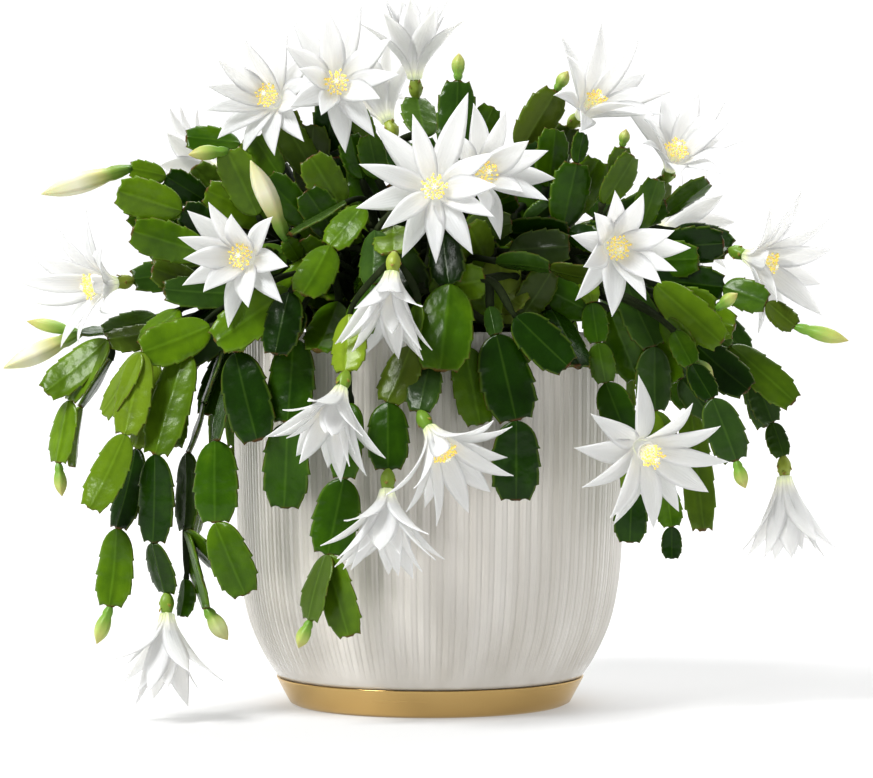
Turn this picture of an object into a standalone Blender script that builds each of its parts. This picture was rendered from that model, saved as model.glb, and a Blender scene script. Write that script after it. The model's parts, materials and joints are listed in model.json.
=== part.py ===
"""A white-flowered Easter cactus in a ribbed ceramic pot that stands in a brass foot cup.

Metres, +Z up. The origin is on the floor under the pot's axis, and -Y is the front.
Each leafy stem is one body: chains of flat segments with notched edges, woody stretches that run back
to a crown in the soil, buds and flower receptacles. Each flower is a body, and its stamens are another.
"""

import math
import random
from collections import Counter

import bmesh
import bpy
from mathutils import Matrix, Vector
from mathutils.bvhtree import BVHTree

MM = 0.001
TOUCH_GAP = 0.0003

# Pot
POT_HEIGHT = 0.1855
POT_RADIUS = 0.098
POT_WALL = 0.0065
POT_FLOOR = 0.0105
POT_FLOOR_EDGE = 0.0240
POT_PROFILE = [(0.0760, 0.0143), (0.0800, 0.0200), (0.0912, 0.0450), (0.0968, 0.1000),
               (0.0980, 0.1855)]
SPIGOT_RADIUS = 0.0665
RIB_COUNT = 96
RIB_DEPTH = 0.0010
RIB_START = 0.0185
CAVITY_SIDES = 36

# Foot cup
FOOT_HEIGHT = 0.0140
FOOT_FLOOR = 0.0030
FOOT_WALL = 0.0032
FOOT_PROFILE = [(0.0680, 0.0), (0.0702, 0.0015), (0.0770, 0.0140)]
FOOT_SIDES = 40

# Soil and crowns
SOIL_TOP = 0.1735
SOIL_LUMP = 0.0020
SOIL_FLAT_RADIUS = 0.078
CROWN_RING = 0.050
CROWN_RADIUS = 0.0140
CROWN_FEET = 14
CROWN_BOTTOM = 0.1600
CROWN_TOP = 0.1810
CROWN_SIDES = 8
HOLE_CLEARANCE = 0.0004

# Segments: places along the length and across the breadth, as shares of each
SEGMENT_EDGE = [(0.15, 0.40), (0.37, 0.48), (0.42, 0.43), (0.72, 0.50), (0.78, 0.42)]
SEGMENT_RIDGE = [(0.50, 1.0)]
SEGMENT_THICKNESS = 0.0032
FULL_BREADTH = 0.0190
JOINT_BREADTH = 0.22
JOINT_THICKNESS = 0.0022
WOOD_RADIUS = 0.0019
NECK_SINK = 0.0025

# Chains that bend more than this at a joint (cosine) are joined there instead of running on in one skin
STITCH_LIMIT = 0.90
# The sharpest bend of a woody stretch (cosine)
LEAST_BEND = 0.2
WOOD_SHORTEST = 0.008
WOOD_LONGEST = 0.050
GOAL_BREADTH = 0.017
BUD_PROFILE = [(0.10, 0.55), (0.45, 1.0), (0.82, 0.62)]
GOLDEN_ANGLE = math.radians(137.5)

# Flowers
PETAL_LENGTH = 0.0380
PETAL_BREADTH = 0.0105
PETAL_THICKNESS = 0.0009
PETAL_ARCH = 0.0025
THROAT_RADIUS = 0.0050
TUBE_RADIUS = 0.0032
TUBE_LENGTH = 0.0100
BAND_HEIGHT = 0.0018
PETAL_ROOT_HALF = 0.0006
RECEPTACLE_LENGTH = 0.0085
RECEPTACLE_RADIUS = 0.0034
STAMEN_RADIUS = 0.0030
STAMEN_REACH = 0.0065
STAMEN_BASE = 0.0030
STAMEN_SCALES = (1.0, 0.8, 0.62, 0.45)

# The eye that the places below are drawn from: level with the rim, in front of the pot's axis
EYE_DISTANCE = 1.640
FLOOR_CLEARANCE = 0.0032

# How far two bodies stay apart when a piece is bent clear
SPARE = 0.0004


def place(across, height, depth):
    """The point in metres that is seen at (across, height) millimetres, drawn on the plane through the
    pot's axis, and lies depth millimetres behind it (in front of it where depth is negative)."""
    reach = (EYE_DISTANCE + depth * MM) / EYE_DISTANCE
    x = across * MM * reach
    z = POT_HEIGHT + (height * MM - POT_HEIGHT) * reach
    return Vector((x, depth * MM, z))


def spray(*joints, bud=None, bloom=None, fork=False):
    """A chain of segments. A joint is (across, height, depth) and the breadth of the segment that ends
    there. A fork starts on the nearest joint of its stem, and any other spray at the crown."""
    return {"joints": joints, "bud": bud, "bloom": bloom, "fork": fork}


# Crowns: the compass angle of each stem's root round the pot's axis, and its distance from that axis
CROWNS = {
    "stem_left_low": (190, 1.0),
    "stem_left_high": (154, 1.0),
    "stem_front_left": (235, 1.0),
    "stem_front_right": (290, 1.0),
    "stem_right_low": (345, 1.0),
    "stem_right_high": (20, 1.0),
    "stem_top": (270, 0.1),
    "stem_back_left": (112, 1.0),
    "stem_back_right": (65, 1.0),
}

# Blooms: throat, the way the bloom faces (x, y, z), and the petal tips as drawn from the throat
BLOOMS = {
    1: ((-79, 302, -34), (-0.35, -0.90, 0.20),
        [(-31, -7), (-30, 3), (-25, 17), (-12, 27), (9, 31), (-23, -17), (-17, -23), (2, -27), (14, -22)]),
    2: ((-47, 309, -52), (0.05, -0.98, 0.10),
        [(-21, 34), (-8, 34), (10, 40), (27, 21), (-6, -17), (5, -34), (-21, -13), (22, -9), (31, 3)]),
    3: ((-8, 321, 2), (-0.05, -0.15, 0.98),
        [(-19, 16), (-15, 21), (-3, 28), (11, 23), (20, 17)]),
    4: ((2, 257, -104), (0.02, -0.99, 0.06),
        [(16, 45), (-13, 33), (-25, 33), (-35, 11), (-36, -11), (-21, -23), (-16, -32),
         (-5, -35), (18, -31), (28, -14), (31, 0), (28, 16)]),
    5: ((26, 264, -72), (0.30, -0.92, 0.10),
        [(-1, 32), (9, 30), (22, 14), (32, 6), (28, -17), (6, -22), (20, -6)]),
    6: ((80, 298, -20), (0.50, -0.70, 0.45),
        [(-14, 36), (4, 42), (27, 32), (40, 12), (30, -6), (20, -2)]),
    7: ((122, 273, -14), (0.15, -0.75, 0.55),
        [(-10, 28), (4, 31), (16, 32), (23, 30), (31, 11), (34, 6), (23, -9), (-18, 5), (-17, 17)]),
    8: ((-93, 223, -90), (-0.20, -0.95, 0.05),
        [(-17, 24), (-4, 19), (15, 18), (-26, 3), (-26, -4), (-29, -11), (-17, -17), (-14, -32),
         (1, -25), (16, -25), (22, -5)]),
    9: ((-165, 209, -50), (-0.78, -0.60, -0.12),
        [(-7, 37), (-22, 31), (-34, 17), (-40, 3), (-33, -12), (-20, -19), (-8, -28), (8, -14)]),
    10: ((92, 228, -92), (0.25, -0.93, -0.10),
         [(-11, 15), (0, 23), (12, 24), (27, 6), (32, -5), (24, -10), (22, -19), (17, -24), (-2, -33),
          (-16, -10)]),
    11: ((165, 221, -42), (0.71, -0.61, -0.30),
         [(3, 27), (21, 36), (35, 21), (36, 7), (32, -11), (27, -30), (18, -32), (5, -21)]),
    12: ((-20, 206, -120), (-0.10, -0.35, -0.93),
         [(-22, -24), (-10, -8), (-5, -30), (4, -30), (13, -23), (17, -3), (20, -9)]),
    13: ((-47, 149, -126), (-0.25, -0.55, -0.80),
         [(-25, -2), (-25, -12), (-16, -26), (-8, -29), (6, -26), (16, -16), (-15, 4)]),
    14: ((4, 130, -130), (0.45, -0.50, -0.74),
         [(25, 11), (32, -8), (32, -21), (26, -24), (12, -34), (5, -38), (-3, -30), (-13, -23),
          (-23, -20)]),
    15: ((-22, 97, -128), (-0.05, -0.35, -0.93),
         [(-28, -6), (-21, -21), (-14, -26), (-1, -32), (11, -32), (21, -21), (23, -11)]),
    16: ((108, 126, -100), (0.45, -0.78, -0.40),
         [(-27, 18), (-4, 36), (20, 23), (34, 12), (39, -5), (28, -23), (20, -27), (4, -37),
          (-15, -33), (-23, -31), (-30, -19), (-35, -1)]),
    17: ((178, 104, -30), (0.06, -0.10, -0.99),
         [(-16, -31), (3, -30), (19, -27)]),
    18: ((-132, 35, -78), (0.0, -0.15, -0.98),
         [(-30, -12), (-27, -20), (-21, -26), (-14, -33), (-10, -37), (6, -37), (11, -31), (13, -15)]),
    19: ((-112, 268, 40), (-0.75, 0.45, 0.25),
         [(-19, 12), (-20, 3), (3, -15)]),
    20: ((120, 238, 42), (0.65, 0.55, 0.30),
         [(26, 13), (8, 10)]),
    21: ((-24, 298, 30), (-0.35, 0.35, 0.85),
         [(-18, 26), (-6, 28)]),
    22: ((-58, 238, 112), (-0.35, 0.90, 0.20), []),
    23: ((52, 232, 116), (0.30, 0.93, 0.10), []),
    24: ((2, 150, 134), (0.05, 0.75, -0.65), []),
}
LEAST_SPREAD = 0.85
LEAST_OPENING = math.radians(24)
WEDGE_FILL = 0.96
REGULAR_PETALS = 12
INNER_LEAN = math.radians(14)
HALF_CLOSED = {3: 38, 17: 42, 12: 48, 13: 55, 15: 55, 18: 50}
OPEN_ANGLE = 68

SPRAYS = {
    "stem_left_high": [
        spray((-66, 238, -18, 0), (-75, 270, -18, 8), bloom=1),
        spray((-70, 212, -40, 0), bloom=8),
        spray((-110, 215, -22, 0), bloom=9),
        spray((-92, 262, 22, 0), bloom=19),
        spray((-86, 244, -50, 0), (-101, 276, -56, 19), bud=(-121, 274, -62, 3.5)),
        spray((-75, 263, -48, 0), (-88, 283, -52, 14)),
        spray((-79, 262, -20, 0), (-95, 279, -26, 8), (-122, 282, -32, 12)),
        spray((-111, 250, -18, 0), (-132, 263, -24, 15), (-150, 267, -30, 10), bud=(-195, 254, -40, 5.0)),
        spray((-100, 232, -42, 0), (-124, 246, -52, 14), (-156, 256, -58, 16)),
        spray((-112, 225, -58, 0), (-149, 236, -66, 18)),
        spray((-112, 240, -36, 0), (-127, 241, -44, 10), bud=(-145, 239, -48, 3.0)),
        spray((-114, 208, -44, 0), (-139, 217, -52, 12)),
        spray((-66, 222, -62, 0), (-72, 232, -72, 9), bud=(-90, 272, -84, 5.0)),
    ],
    "stem_left_low": [
        spray((-122, 176, -74, 0), (-137, 124, -86, 20), (-138, 80, -84, 15), bloom=18),
        spray((-110, 188, -74, 0), (-144, 175, -82, 23), (-152, 134, -88, 15), (-170, 97, -90, 15)),
        spray((-144, 175, -82, 0), (-163, 144, -76, 13), fork=True),
        spray((-138, 172, -66, 0), (-146, 127, -70, 14), (-156, 87, -73, 17), (-160, 48, -75, 19),
              bud=(-167, 29, -76, 3.5)),
        spray((-135, 186, -50, 0), (-161, 181, -56, 12), (-192, 155, -64, 15)),
        spray((-161, 181, -56, 0), (-180, 151, -60, 13), (-186, 120, -63, 17), fork=True,
              bud=(-184, 103, -64, 3.0)),
        spray((-125, 196, -60, 0), (-144, 178, -64, 17)),
        spray((-137, 193, -36, 0), (-163, 185, -42, 13)),
        spray((-137, 188, -16, 0), (-158, 186, -20, 8), (-175, 185, -24, 6), bud=(-202, 191, -20, 3.2)),
        spray((-175, 185, -24, 0), bud=(-214, 167, -34, 5.0), fork=True),
        spray((-160, 172, -28, 0), (-175, 148, -34, 8), (-179, 118, -36, 7)),
        spray((-104, 176, -64, 0), (-113, 150, -68, 7), (-121, 125, -72, 8), (-122, 86, -76, 13),
              (-112, 47, -78, 9), bud=(-101, 31, -80, 4.0)),
        spray((-122, 86, -76, 0), (-98, 62, -82, 9), fork=True),
        spray((-122, 62, -70, 0), (-124, 43, -71, 9)),
        spray((-98, 168, -86, 0), (-107, 131, -92, 9), (-107, 90, -96, 21), (-92, 54, -99, 19)),
        spray((-108, 182, -52, 0), (-124, 159, -58, 7), (-128, 128, -58, 14)),
    ],
    "stem_front_left": [
        spray((-18, 238, -84, 0), bloom=12),
        spray((-40, 194, -106, 0), bloom=13),
        spray((-6, 200, -104, 0), (-9, 178, -111, 8), (-21, 150, -117, 16), bloom=15),
        spray((-70, 206, -96, 0), (-107, 180, -104, 20)),
        spray((-90, 198, -88, 0), (-97, 175, -97, 11), (-86, 131, -105, 22)),
        spray((-70, 205, -102, 0), (-77, 174, -109, 16)),
        spray((-64, 196, -92, 0), (-68, 182, -97, 8), (-71, 140, -103, 21), (-73, 97, -106, 21)),
        spray((-40, 150, -103, 0), (-43, 112, -106, 14), (-51, 74, -109, 24), (-60, 41, -111, 11),
              bud=(-66, 27, -112, 3.2)),
        spray((-51, 74, -109, 0), (-40, 33, -112, 14), fork=True),
        spray((-33, 248, -82, 0), (-50, 228, -90, 18), (-63, 204, -97, 20)),
        spray((-42, 250, -70, 0), (-70, 234, -80, 7)),
        spray((-27, 236, -92, 0), (-28, 209, -99, 21), (-38, 181, -107, 13)),
    ],
    "stem_front_right": [
        spray((2, 190, -100, 0), (0, 168, -108, 8), bloom=14),
        spray((78, 214, -72, 0), (81, 200, -78, 10), (84, 180, -80, 22), (88, 160, -80, 22), bloom=16),
        spray((7, 234, -84, 0), (10, 209, -98, 24), (5, 166, -112, 26)),
        spray((0, 206, -90, 0), (28, 212, -97, 14)),
        spray((30, 198, -98, 0), (33, 184, -103, 10), (43, 141, -109, 29), (43, 101, -112, 24)),
        spray((15, 196, -98, 0), (17, 178, -101, 9), (25, 139, -104, 15)),
        spray((43, 193, -104, 0), (69, 168, -110, 19)),
        spray((96, 214, -62, 0), (112, 178, -70, 15), (112, 146, -71, 15)),
        spray((112, 146, -71, 0), (101, 106, -72, 14), (100, 80, -73, 13), fork=True),
        spray((112, 146, -71, 0), (118, 108, -66, 12), (121, 88, -66, 11), (121, 72, -66, 9), fork=True),
        spray((90, 196, -66, 0), (104, 162, -62, 13)),
        spray((36, 187, -78, 0), (35, 223, -76, 16)),
        spray((44, 192, -76, 0), (60, 216, -79, 14)),
        spray((33, 221, -84, 0), (60, 218, -88, 7), (88, 213, -90, 6)),
    ],
    "stem_right_low": [
        spray((136, 190, -18, 0), (149, 177, -21, 8), (163, 161, -24, 9), (171, 140, -27, 12), bloom=17),
        spray((112, 212, -46, 0), (147, 208, -54, 14), (168, 200, -58, 14), (182, 188, -62, 12),
              bud=(209, 181, -68, 3.5)),
        spray((115, 202, -62, 0), (143, 197, -68, 12), bud=(154, 205, -70, 3.0)),
        spray((113, 209, -74, 0), (146, 180, -82, 14)),
        spray((116, 192, -74, 0), (131, 172, -78, 8), bud=(142, 163, -80, 3.0)),
        spray((118, 192, -50, 0), (132, 179, -56, 11), (159, 156, -64, 24)),
        spray((136, 187, -38, 0), (150, 178, -42, 10), (182, 150, -48, 18)),
        spray((116, 180, -58, 0), (126, 162, -62, 8), (140, 144, -64, 10)),
        spray((122, 186, -84, 0), (131, 169, -87, 9), (141, 152, -90, 10), (153, 121, -92, 17),
              bud=(158, 107, -93, 3.2)),
        spray((140, 196, 4, 0), (158, 172, 6, 16), (168, 138, 8, 18)),
    ],
    "stem_right_high": [
        spray((58, 262, 2, 0), bloom=6),
        spray((104, 240, -2, 0), bloom=7),
        spray((122, 236, -14, 0), bloom=11),
        spray((106, 230, 26, 0), bloom=20),
        spray((66, 238, -48, 0), (73, 270, -52, 24), (76, 285, -50, 13)),
        spray((45, 276, -18, 0), (63, 306, -24, 15), bud=(69, 316, -26, 3.0)),
        spray((58, 258, -34, 0), (62, 287, -34, 18)),
        spray((92, 253, -28, 0), (96, 278, -32, 12), bud=(98, 287, -34, 2.6)),
        spray((104, 236, -40, 0), (113, 262, -44, 16)),
        spray((115, 244, -28, 0), (139, 261, -32, 10)),
        spray((115, 228, -42, 0), (147, 230, -48, 17)),
        spray((86, 250, -56, 0), (101, 274, -56, 12)),
    ],
    "stem_top": [
        spray((-46, 250, -20, 0), (-51, 276, -22, 18), bloom=2),
        spray((-3, 260, -18, 0), (-3, 283, -14, 16), bloom=3),
        spray((4, 236, -58, 0), bloom=4),
        spray((16, 246, -36, 0), bloom=5),
        spray((-10, 262, 10, 0), bloom=21),
        spray((38, 236, -50, 0), (70, 236, -62, 9), bloom=10),
        spray((-44, 247, -58, 0), (-60, 273, -62, 24)),
        spray((-30, 280, -22, 0), (-38, 298, -24, 10)),
        spray((-34, 262, -42, 0), (-40, 284, -44, 14)),
        spray((-26, 262, -46, 0), (-31, 284, -48, 13)),
        spray((12, 270, -32, 0), (14, 311, -28, 18), bud=(14.5, 325, -27, 3.2)),
        spray((22, 274, -22, 0), (31, 298, -18, 12)),
        spray((-58, 264, -32, 0), (-72, 288, -34, 12)),
        spray((18, 238, -62, 0), (41, 240, -66, 13)),
    ],
}

# The side that the front view doesn't show is leafed by rule, from these spans
BACK_ROUNDS = {
    "stem_back_left": (100, 172),
    "stem_back_right": (8, 80),
}
BACK_HANGING = 4
BACK_UPPER = 3
BACK_SEED = 11
BACK_BLOOMS = {
    "stem_back_left": {22: (-43, 236, 72), 24: (4, 206, 112)},
    "stem_back_right": {23: (39, 231, 75)},
}

# Depth shifts (millimetres) and rolls (degrees) that are tried when a segment has to be bent clear
SHIFTS = (0, 3, -3, 6, -6, 10, -10, 15, -15)
ROLLS = (0, 18, -18, 36, -36, 55, -55)
LIFTS = (0, 5, -5, 10, -10, 16, -16, 23, -23, 31, -31, 40)
RISES = (55, 75, 35, 95, 20)
SIDESTEPS = (0, 12, -12, 24, -24)

# How far a segment is bent only to keep clear of its own stem, before it may grow into it
STRICT_EFFORT = 2.6


def pot_outside(height):
    """The pot's outer radius at a height, on the crest of a rib."""
    for (low_radius, low), (high_radius, high) in zip(POT_PROFILE, POT_PROFILE[1:]):
        if height <= high:
            share = max(0.0, (height - low) / (high - low))
            return low_radius + (high_radius - low_radius) * share
    return POT_RADIUS


def meets_holder(point):
    """True where a point lies in the pot's wall, in the soil or too near the floor."""
    radius = math.hypot(point.x, point.y)
    if point.z < FLOOR_CLEARANCE:
        return True
    if point.z > POT_HEIGHT + 2 * SPARE:
        return False
    if radius > pot_outside(point.z) + 3 * SPARE:
        return False
    inside_mouth = radius < POT_RADIUS - POT_WALL - 3 * SPARE
    return not (inside_mouth and point.z > SOIL_TOP + SOIL_LUMP)


class Crowd:
    """The pieces placed so far, so that the next one can be bent clear of them."""

    def __init__(self):
        self.pieces = []

    def add(self, node, shape):
        points, faces = shape
        centre = sum(points, Vector()) / len(points)
        radius = max((point - centre).length for point in points)
        self.pieces.append((node, centre, radius, BVHTree.FromPolygons(points, faces)))
        return len(self.pieces) - 1

    def clear(self, node, shape, linked=None):
        """True where a shape meets no piece of another node. With linked given, it meets none of its
        own node either, apart from the linked pieces, which it grows from."""
        points, faces = shape
        if any(meets_holder(point) for point in points):
            return False
        if any(meets_holder((a + b) / 2) for a, b in zip(points, points[1:])):
            return False
        centre = sum(points, Vector()) / len(points)
        radius = max((point - centre).length for point in points)
        tree = None
        for index, (other, middle, reach, other_tree) in enumerate(self.pieces):
            if other == node and (linked is None or index in linked):
                continue
            if (middle - centre).length > reach + radius:
                continue
            tree = tree or BVHTree.FromPolygons(points, faces)
            if tree.overlap(other_tree):
                return False
        return True


def carry(frame, heading, going):
    """A frame carried round a bend without twisting."""
    turn = heading.rotation_difference(going)
    return turn @ frame[0], turn @ frame[1]


def frame_of(axis, normal, roll=0.0):
    """Unit side and normal vectors across an axis, with the normal rolled round it."""
    axis = axis.normalized()
    normal = (normal - axis * normal.dot(axis)).normalized()
    normal = Matrix.Rotation(roll, 3, axis) @ normal
    return axis.cross(normal).normalized(), normal


def ring(centre, side, normal, half_breadth, half_thickness):
    """Four points round a joint: left, top, right and bottom."""
    return [centre - side * half_breadth, centre + normal * half_thickness,
            centre + side * half_breadth, centre - normal * half_thickness]


def joint_ring(centre, frame, breadth):
    """The narrow ring at a joint of a segment of this breadth."""
    return ring(centre, *frame, breadth * JOINT_BREADTH / 2, JOINT_THICKNESS / 2)


def segment_body(start, end, frame, breadth, spare=0.0):
    """The four runs of points along a flat segment: left edge, top ridge, right edge, bottom ridge."""
    axis = end - start
    side, normal = frame
    half = SEGMENT_THICKNESS / 2 + spare
    left = [start + axis * t - side * (breadth * w + spare) for t, w in SEGMENT_EDGE]
    right = [start + axis * t + side * (breadth * w + spare) for t, w in SEGMENT_EDGE]
    top = [start + axis * t + normal * (half * w) for t, w in SEGMENT_RIDGE]
    bottom = [start + axis * t - normal * (half * w) for t, w in SEGMENT_RIDGE]
    return [left, top, right, bottom]


def quarter(edge, ridge):
    """Triangles between an edge of seven points and a ridge of three."""
    runs = [(0, 0, 1), (1, 1, 5), (2, 5, 6)]
    faces = []
    for index, first, last in runs:
        for step in range(first, last):
            faces.append((ridge[index], edge[step], edge[step + 1]))
        if index < 2:
            faces.append((ridge[index], edge[last], ridge[index + 1]))
    return faces


def skin(rings, bodies, tip=None):
    """Points and faces of one closed skin over the rings and the segment bodies between them."""
    points = [point for part in rings for point in part]
    faces = [(3, 2, 1, 0)]
    for index, body in enumerate(bodies):
        near = [4 * index + corner for corner in range(4)]
        far = [4 * (index + 1) + corner for corner in range(4)]
        if body is None:
            for corner in range(4):
                after = (corner + 1) % 4
                faces.append((near[corner], near[after], far[after], far[corner]))
            continue
        runs = []
        for corner, run in enumerate(body):
            first = len(points)
            points.extend(run)
            runs.append([near[corner], *range(first, first + len(run)), far[corner]])
        for edge in (0, 2):
            for ridge in (1, 3):
                faces.extend(quarter(runs[edge], runs[ridge]))
    last = 4 * (len(rings) - 1)
    if tip is None:
        faces.append(tuple(last + corner for corner in range(4)))
    else:
        points.append(tip)
        faces.extend((last + corner, last + (corner + 1) % 4, len(points) - 1) for corner in range(4))
    return points, faces


def add_object(name, points, faces, collection):
    """One object from points and faces, with its faces turned outward."""
    mesh = bpy.data.meshes.new(name)
    mesh.from_pydata(points, [], faces)
    shell = bmesh.new()
    shell.from_mesh(mesh)
    bmesh.ops.triangulate(shell, faces=shell.faces)
    bmesh.ops.recalc_face_normals(shell, faces=shell.faces)
    shell.to_mesh(mesh)
    shell.free()
    thing = bpy.data.objects.new(name, mesh)
    collection.objects.link(thing)
    return thing


def material(name, colour, roughness, metallic=0.0):
    paint = bpy.data.materials.new(name)
    paint.use_nodes = True
    shader = paint.node_tree.nodes["Principled BSDF"]
    shader.inputs["Base Color"].default_value = (*colour, 1.0)
    shader.inputs["Roughness"].default_value = roughness
    shader.inputs["Metallic"].default_value = metallic
    return paint


def turned(name, profile, steps, collection):
    """A closed solid turned from a profile that runs down its outer side, with flat ends."""
    mesh = bpy.data.meshes.new(name)
    points = [(radius, 0.0, height) for radius, height in profile]
    mesh.from_pydata(points, [(i, i + 1) for i in range(len(points) - 1)], [])
    thing = bpy.data.objects.new(name, mesh)
    collection.objects.link(thing)
    screw = thing.modifiers.new("Turn", "SCREW")
    screw.steps = steps
    screw.render_steps = steps
    screw.use_merge_vertices = True
    screw.merge_threshold = 0.00001
    made_mesh(thing)
    return thing


def evaluated_mesh(thing):
    graph = bpy.context.evaluated_depsgraph_get()
    return bpy.data.meshes.new_from_object(thing.evaluated_get(graph))


def is_closed(mesh):
    """True where every edge of a mesh lies between just two faces."""
    uses = Counter(key for face in mesh.polygons for key in face.edge_keys)
    return all(count == 2 for count in uses.values())


def made_mesh(thing):
    """Apply an object's modifiers to its mesh, close its ends, and turn its faces outward."""
    mesh = evaluated_mesh(thing)
    thing.modifiers.clear()
    shell = bmesh.new()
    shell.from_mesh(mesh)
    bmesh.ops.holes_fill(shell, edges=[edge for edge in shell.edges if edge.is_boundary], sides=0)
    bmesh.ops.recalc_face_normals(shell, faces=shell.faces)
    shell.to_mesh(mesh)
    shell.free()
    thing.data = mesh


def combine(thing, operation, other, collection):
    """Cut or join one object with another, which is kept as a wire guide."""
    other.hide_render = True
    other.display_type = "WIRE"
    boolean = thing.modifiers.new(operation.capitalize(), "BOOLEAN")
    boolean.operation = operation
    boolean.solver = "EXACT"
    boolean.object = other
    if other.name not in collection.objects:
        collection.objects.link(other)


def cylinder(name, sides, radius, low, high, centre, collection):
    """An upright cylinder between two heights."""
    bpy.ops.mesh.primitive_cylinder_add(
        vertices=sides, radius=radius, depth=high - low,
        location=(centre.x, centre.y, (low + high) / 2))
    thing = bpy.context.object
    thing.name = name
    bpy.context.collection.objects.unlink(thing)
    collection.objects.link(thing)
    return thing


def cavity_profile(clearance, top):
    """The pot's inside, from its top edge down to the edge of its floor."""
    inset = POT_WALL + clearance
    profile = [(pot_outside(top) - inset, top)]
    if top > POT_HEIGHT:
        profile.append((POT_RADIUS - inset, POT_HEIGHT))
    for radius, height in reversed(POT_PROFILE[2:4]):
        profile.append((radius - inset, height))
    profile.append((POT_PROFILE[0][0] - inset, POT_FLOOR_EDGE + clearance))
    profile.append((SPIGOT_RADIUS - inset, POT_FLOOR + clearance))
    return profile


def make_pot(parts, cutters):
    """The ribbed pot, whose plain lower end stands in the foot cup."""
    pot = turned("pot", POT_PROFILE[::-1], 2 * RIB_COUNT, parts)
    pitch = math.pi / RIB_COUNT
    for vertex in pot.data.vertices:
        radius = math.hypot(vertex.co.x, vertex.co.y)
        ribbed = vertex.co.z > RIB_START
        valley = round(math.atan2(vertex.co.y, vertex.co.x) / pitch) % 2 == 1
        if ribbed and valley:
            vertex.co.x *= (radius - RIB_DEPTH) / radius
            vertex.co.y *= (radius - RIB_DEPTH) / radius
    spigot = cylinder("pot_spigot", CAVITY_SIDES, SPIGOT_RADIUS, FOOT_FLOOR + TOUCH_GAP,
                      POT_PROFILE[0][1] + 0.02, Vector(), cutters)
    combine(pot, "UNION", spigot, cutters)
    hollow = turned("pot_cavity", cavity_profile(0.0, POT_HEIGHT + 0.01), CAVITY_SIDES, cutters)
    combine(pot, "DIFFERENCE", hollow, cutters)
    pot.data.materials.append(material("glazed ceramic", (0.86, 0.85, 0.82), 0.35))


def make_foot(parts):
    """The brass cup under the pot."""
    inner_top = FOOT_PROFILE[-1][0] - FOOT_WALL
    inner_base = SPIGOT_RADIUS + TOUCH_GAP
    profile = [(inner_base, FOOT_FLOOR), (inner_top, FOOT_HEIGHT), *reversed(FOOT_PROFILE)]
    foot = turned("foot_cup", profile, FOOT_SIDES, parts)
    foot.data.materials.append(material("brushed brass", (0.78, 0.57, 0.28), 0.28, 1.0))


def crown_place(stem):
    angle, share = CROWNS[stem]
    turn = math.radians(angle)
    return Vector((CROWN_RING * share * math.cos(turn), CROWN_RING * share * math.sin(turn), 0.0))


def crown_feet(stem):
    """Places for woody stretches, spread over a crown's top by the golden angle."""
    feet = []
    for index in range(CROWN_FEET):
        turn = index * GOLDEN_ANGLE
        radius = (CROWN_RADIUS - 1.3 * WOOD_RADIUS) * math.sqrt((index + 0.5) / CROWN_FEET)
        foot = crown_place(stem) + Vector((radius * math.cos(turn), radius * math.sin(turn), 0.0))
        foot.z = CROWN_TOP - 0.005
        feet.append(foot)
    return feet


def make_soil(parts, cutters):
    """Soil up to just under the rim, with a lumpy top and a plain hole for each crown."""
    profile = [(SOIL_FLAT_RADIUS, SOIL_TOP), *cavity_profile(TOUCH_GAP, SOIL_TOP - SOIL_LUMP)]
    soil = turned("soil", profile, CAVITY_SIDES, parts)
    for vertex in soil.data.vertices:
        turn = math.atan2(vertex.co.y, vertex.co.x)
        if SOIL_TOP - 1.5 * SOIL_LUMP < vertex.co.z < SOIL_TOP - SOIL_LUMP / 2:
            vertex.co.z += SOIL_LUMP * 0.6 * math.sin(5 * turn)
    for stem in CROWNS:
        hole = cylinder("hole_" + stem, CROWN_SIDES, CROWN_RADIUS + HOLE_CLEARANCE,
                        CROWN_BOTTOM - TOUCH_GAP, SOIL_TOP + 0.02, crown_place(stem), cutters)
        combine(soil, "DIFFERENCE", hole, cutters)
    soil.data.materials.append(material("potting soil", (0.035, 0.025, 0.018), 0.95))


def bloom_axis(number):
    return Vector(BLOOMS[number][1]).normalized()


def throat(number):
    return place(*BLOOMS[number][0])


def receptacle_start(number):
    """Where the stem's receptacle for a bloom begins."""
    return throat(number) - bloom_axis(number) * (TUBE_LENGTH + TOUCH_GAP + RECEPTACLE_LENGTH)


def facing(point):
    """The way a segment shows its flat side: to the front, and outward at the back."""
    outward = Vector((point.x, point.y, 0.0)) * 4
    front = Vector((0.0, -1.0, 0.15))
    if point.y > 0.03:
        return outward.normalized() + Vector((0.0, 0.0, 0.2))
    return front + outward


def petal_course(number, tip, length):
    """A petal's direction and length, from its tip as drawn: the missing depth fills up its length."""
    across, height = tip
    drawn = math.hypot(across, height) * MM
    depth = math.sqrt(max(length * length - drawn * drawn, 0.0))
    axis = bloom_axis(number)
    choices = [Vector((across * MM, sign * depth, height * MM)) for sign in (-1, 1)]
    wanted = math.cos(math.radians(HALF_CLOSED.get(number, OPEN_ANGLE)))
    course = min(choices, key=lambda choice: abs(choice.normalized().dot(axis) - wanted))
    short = LEAST_OPENING - axis.angle(course)
    if short > 0:
        course = Matrix.Rotation(short, 3, axis.cross(course)) @ course
    return course


def petal_count(number):
    """Fewer petals where a bloom is half closed."""
    return 8 + round(min(HALF_CLOSED.get(number, OPEN_ANGLE), 60) / 15)


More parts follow.
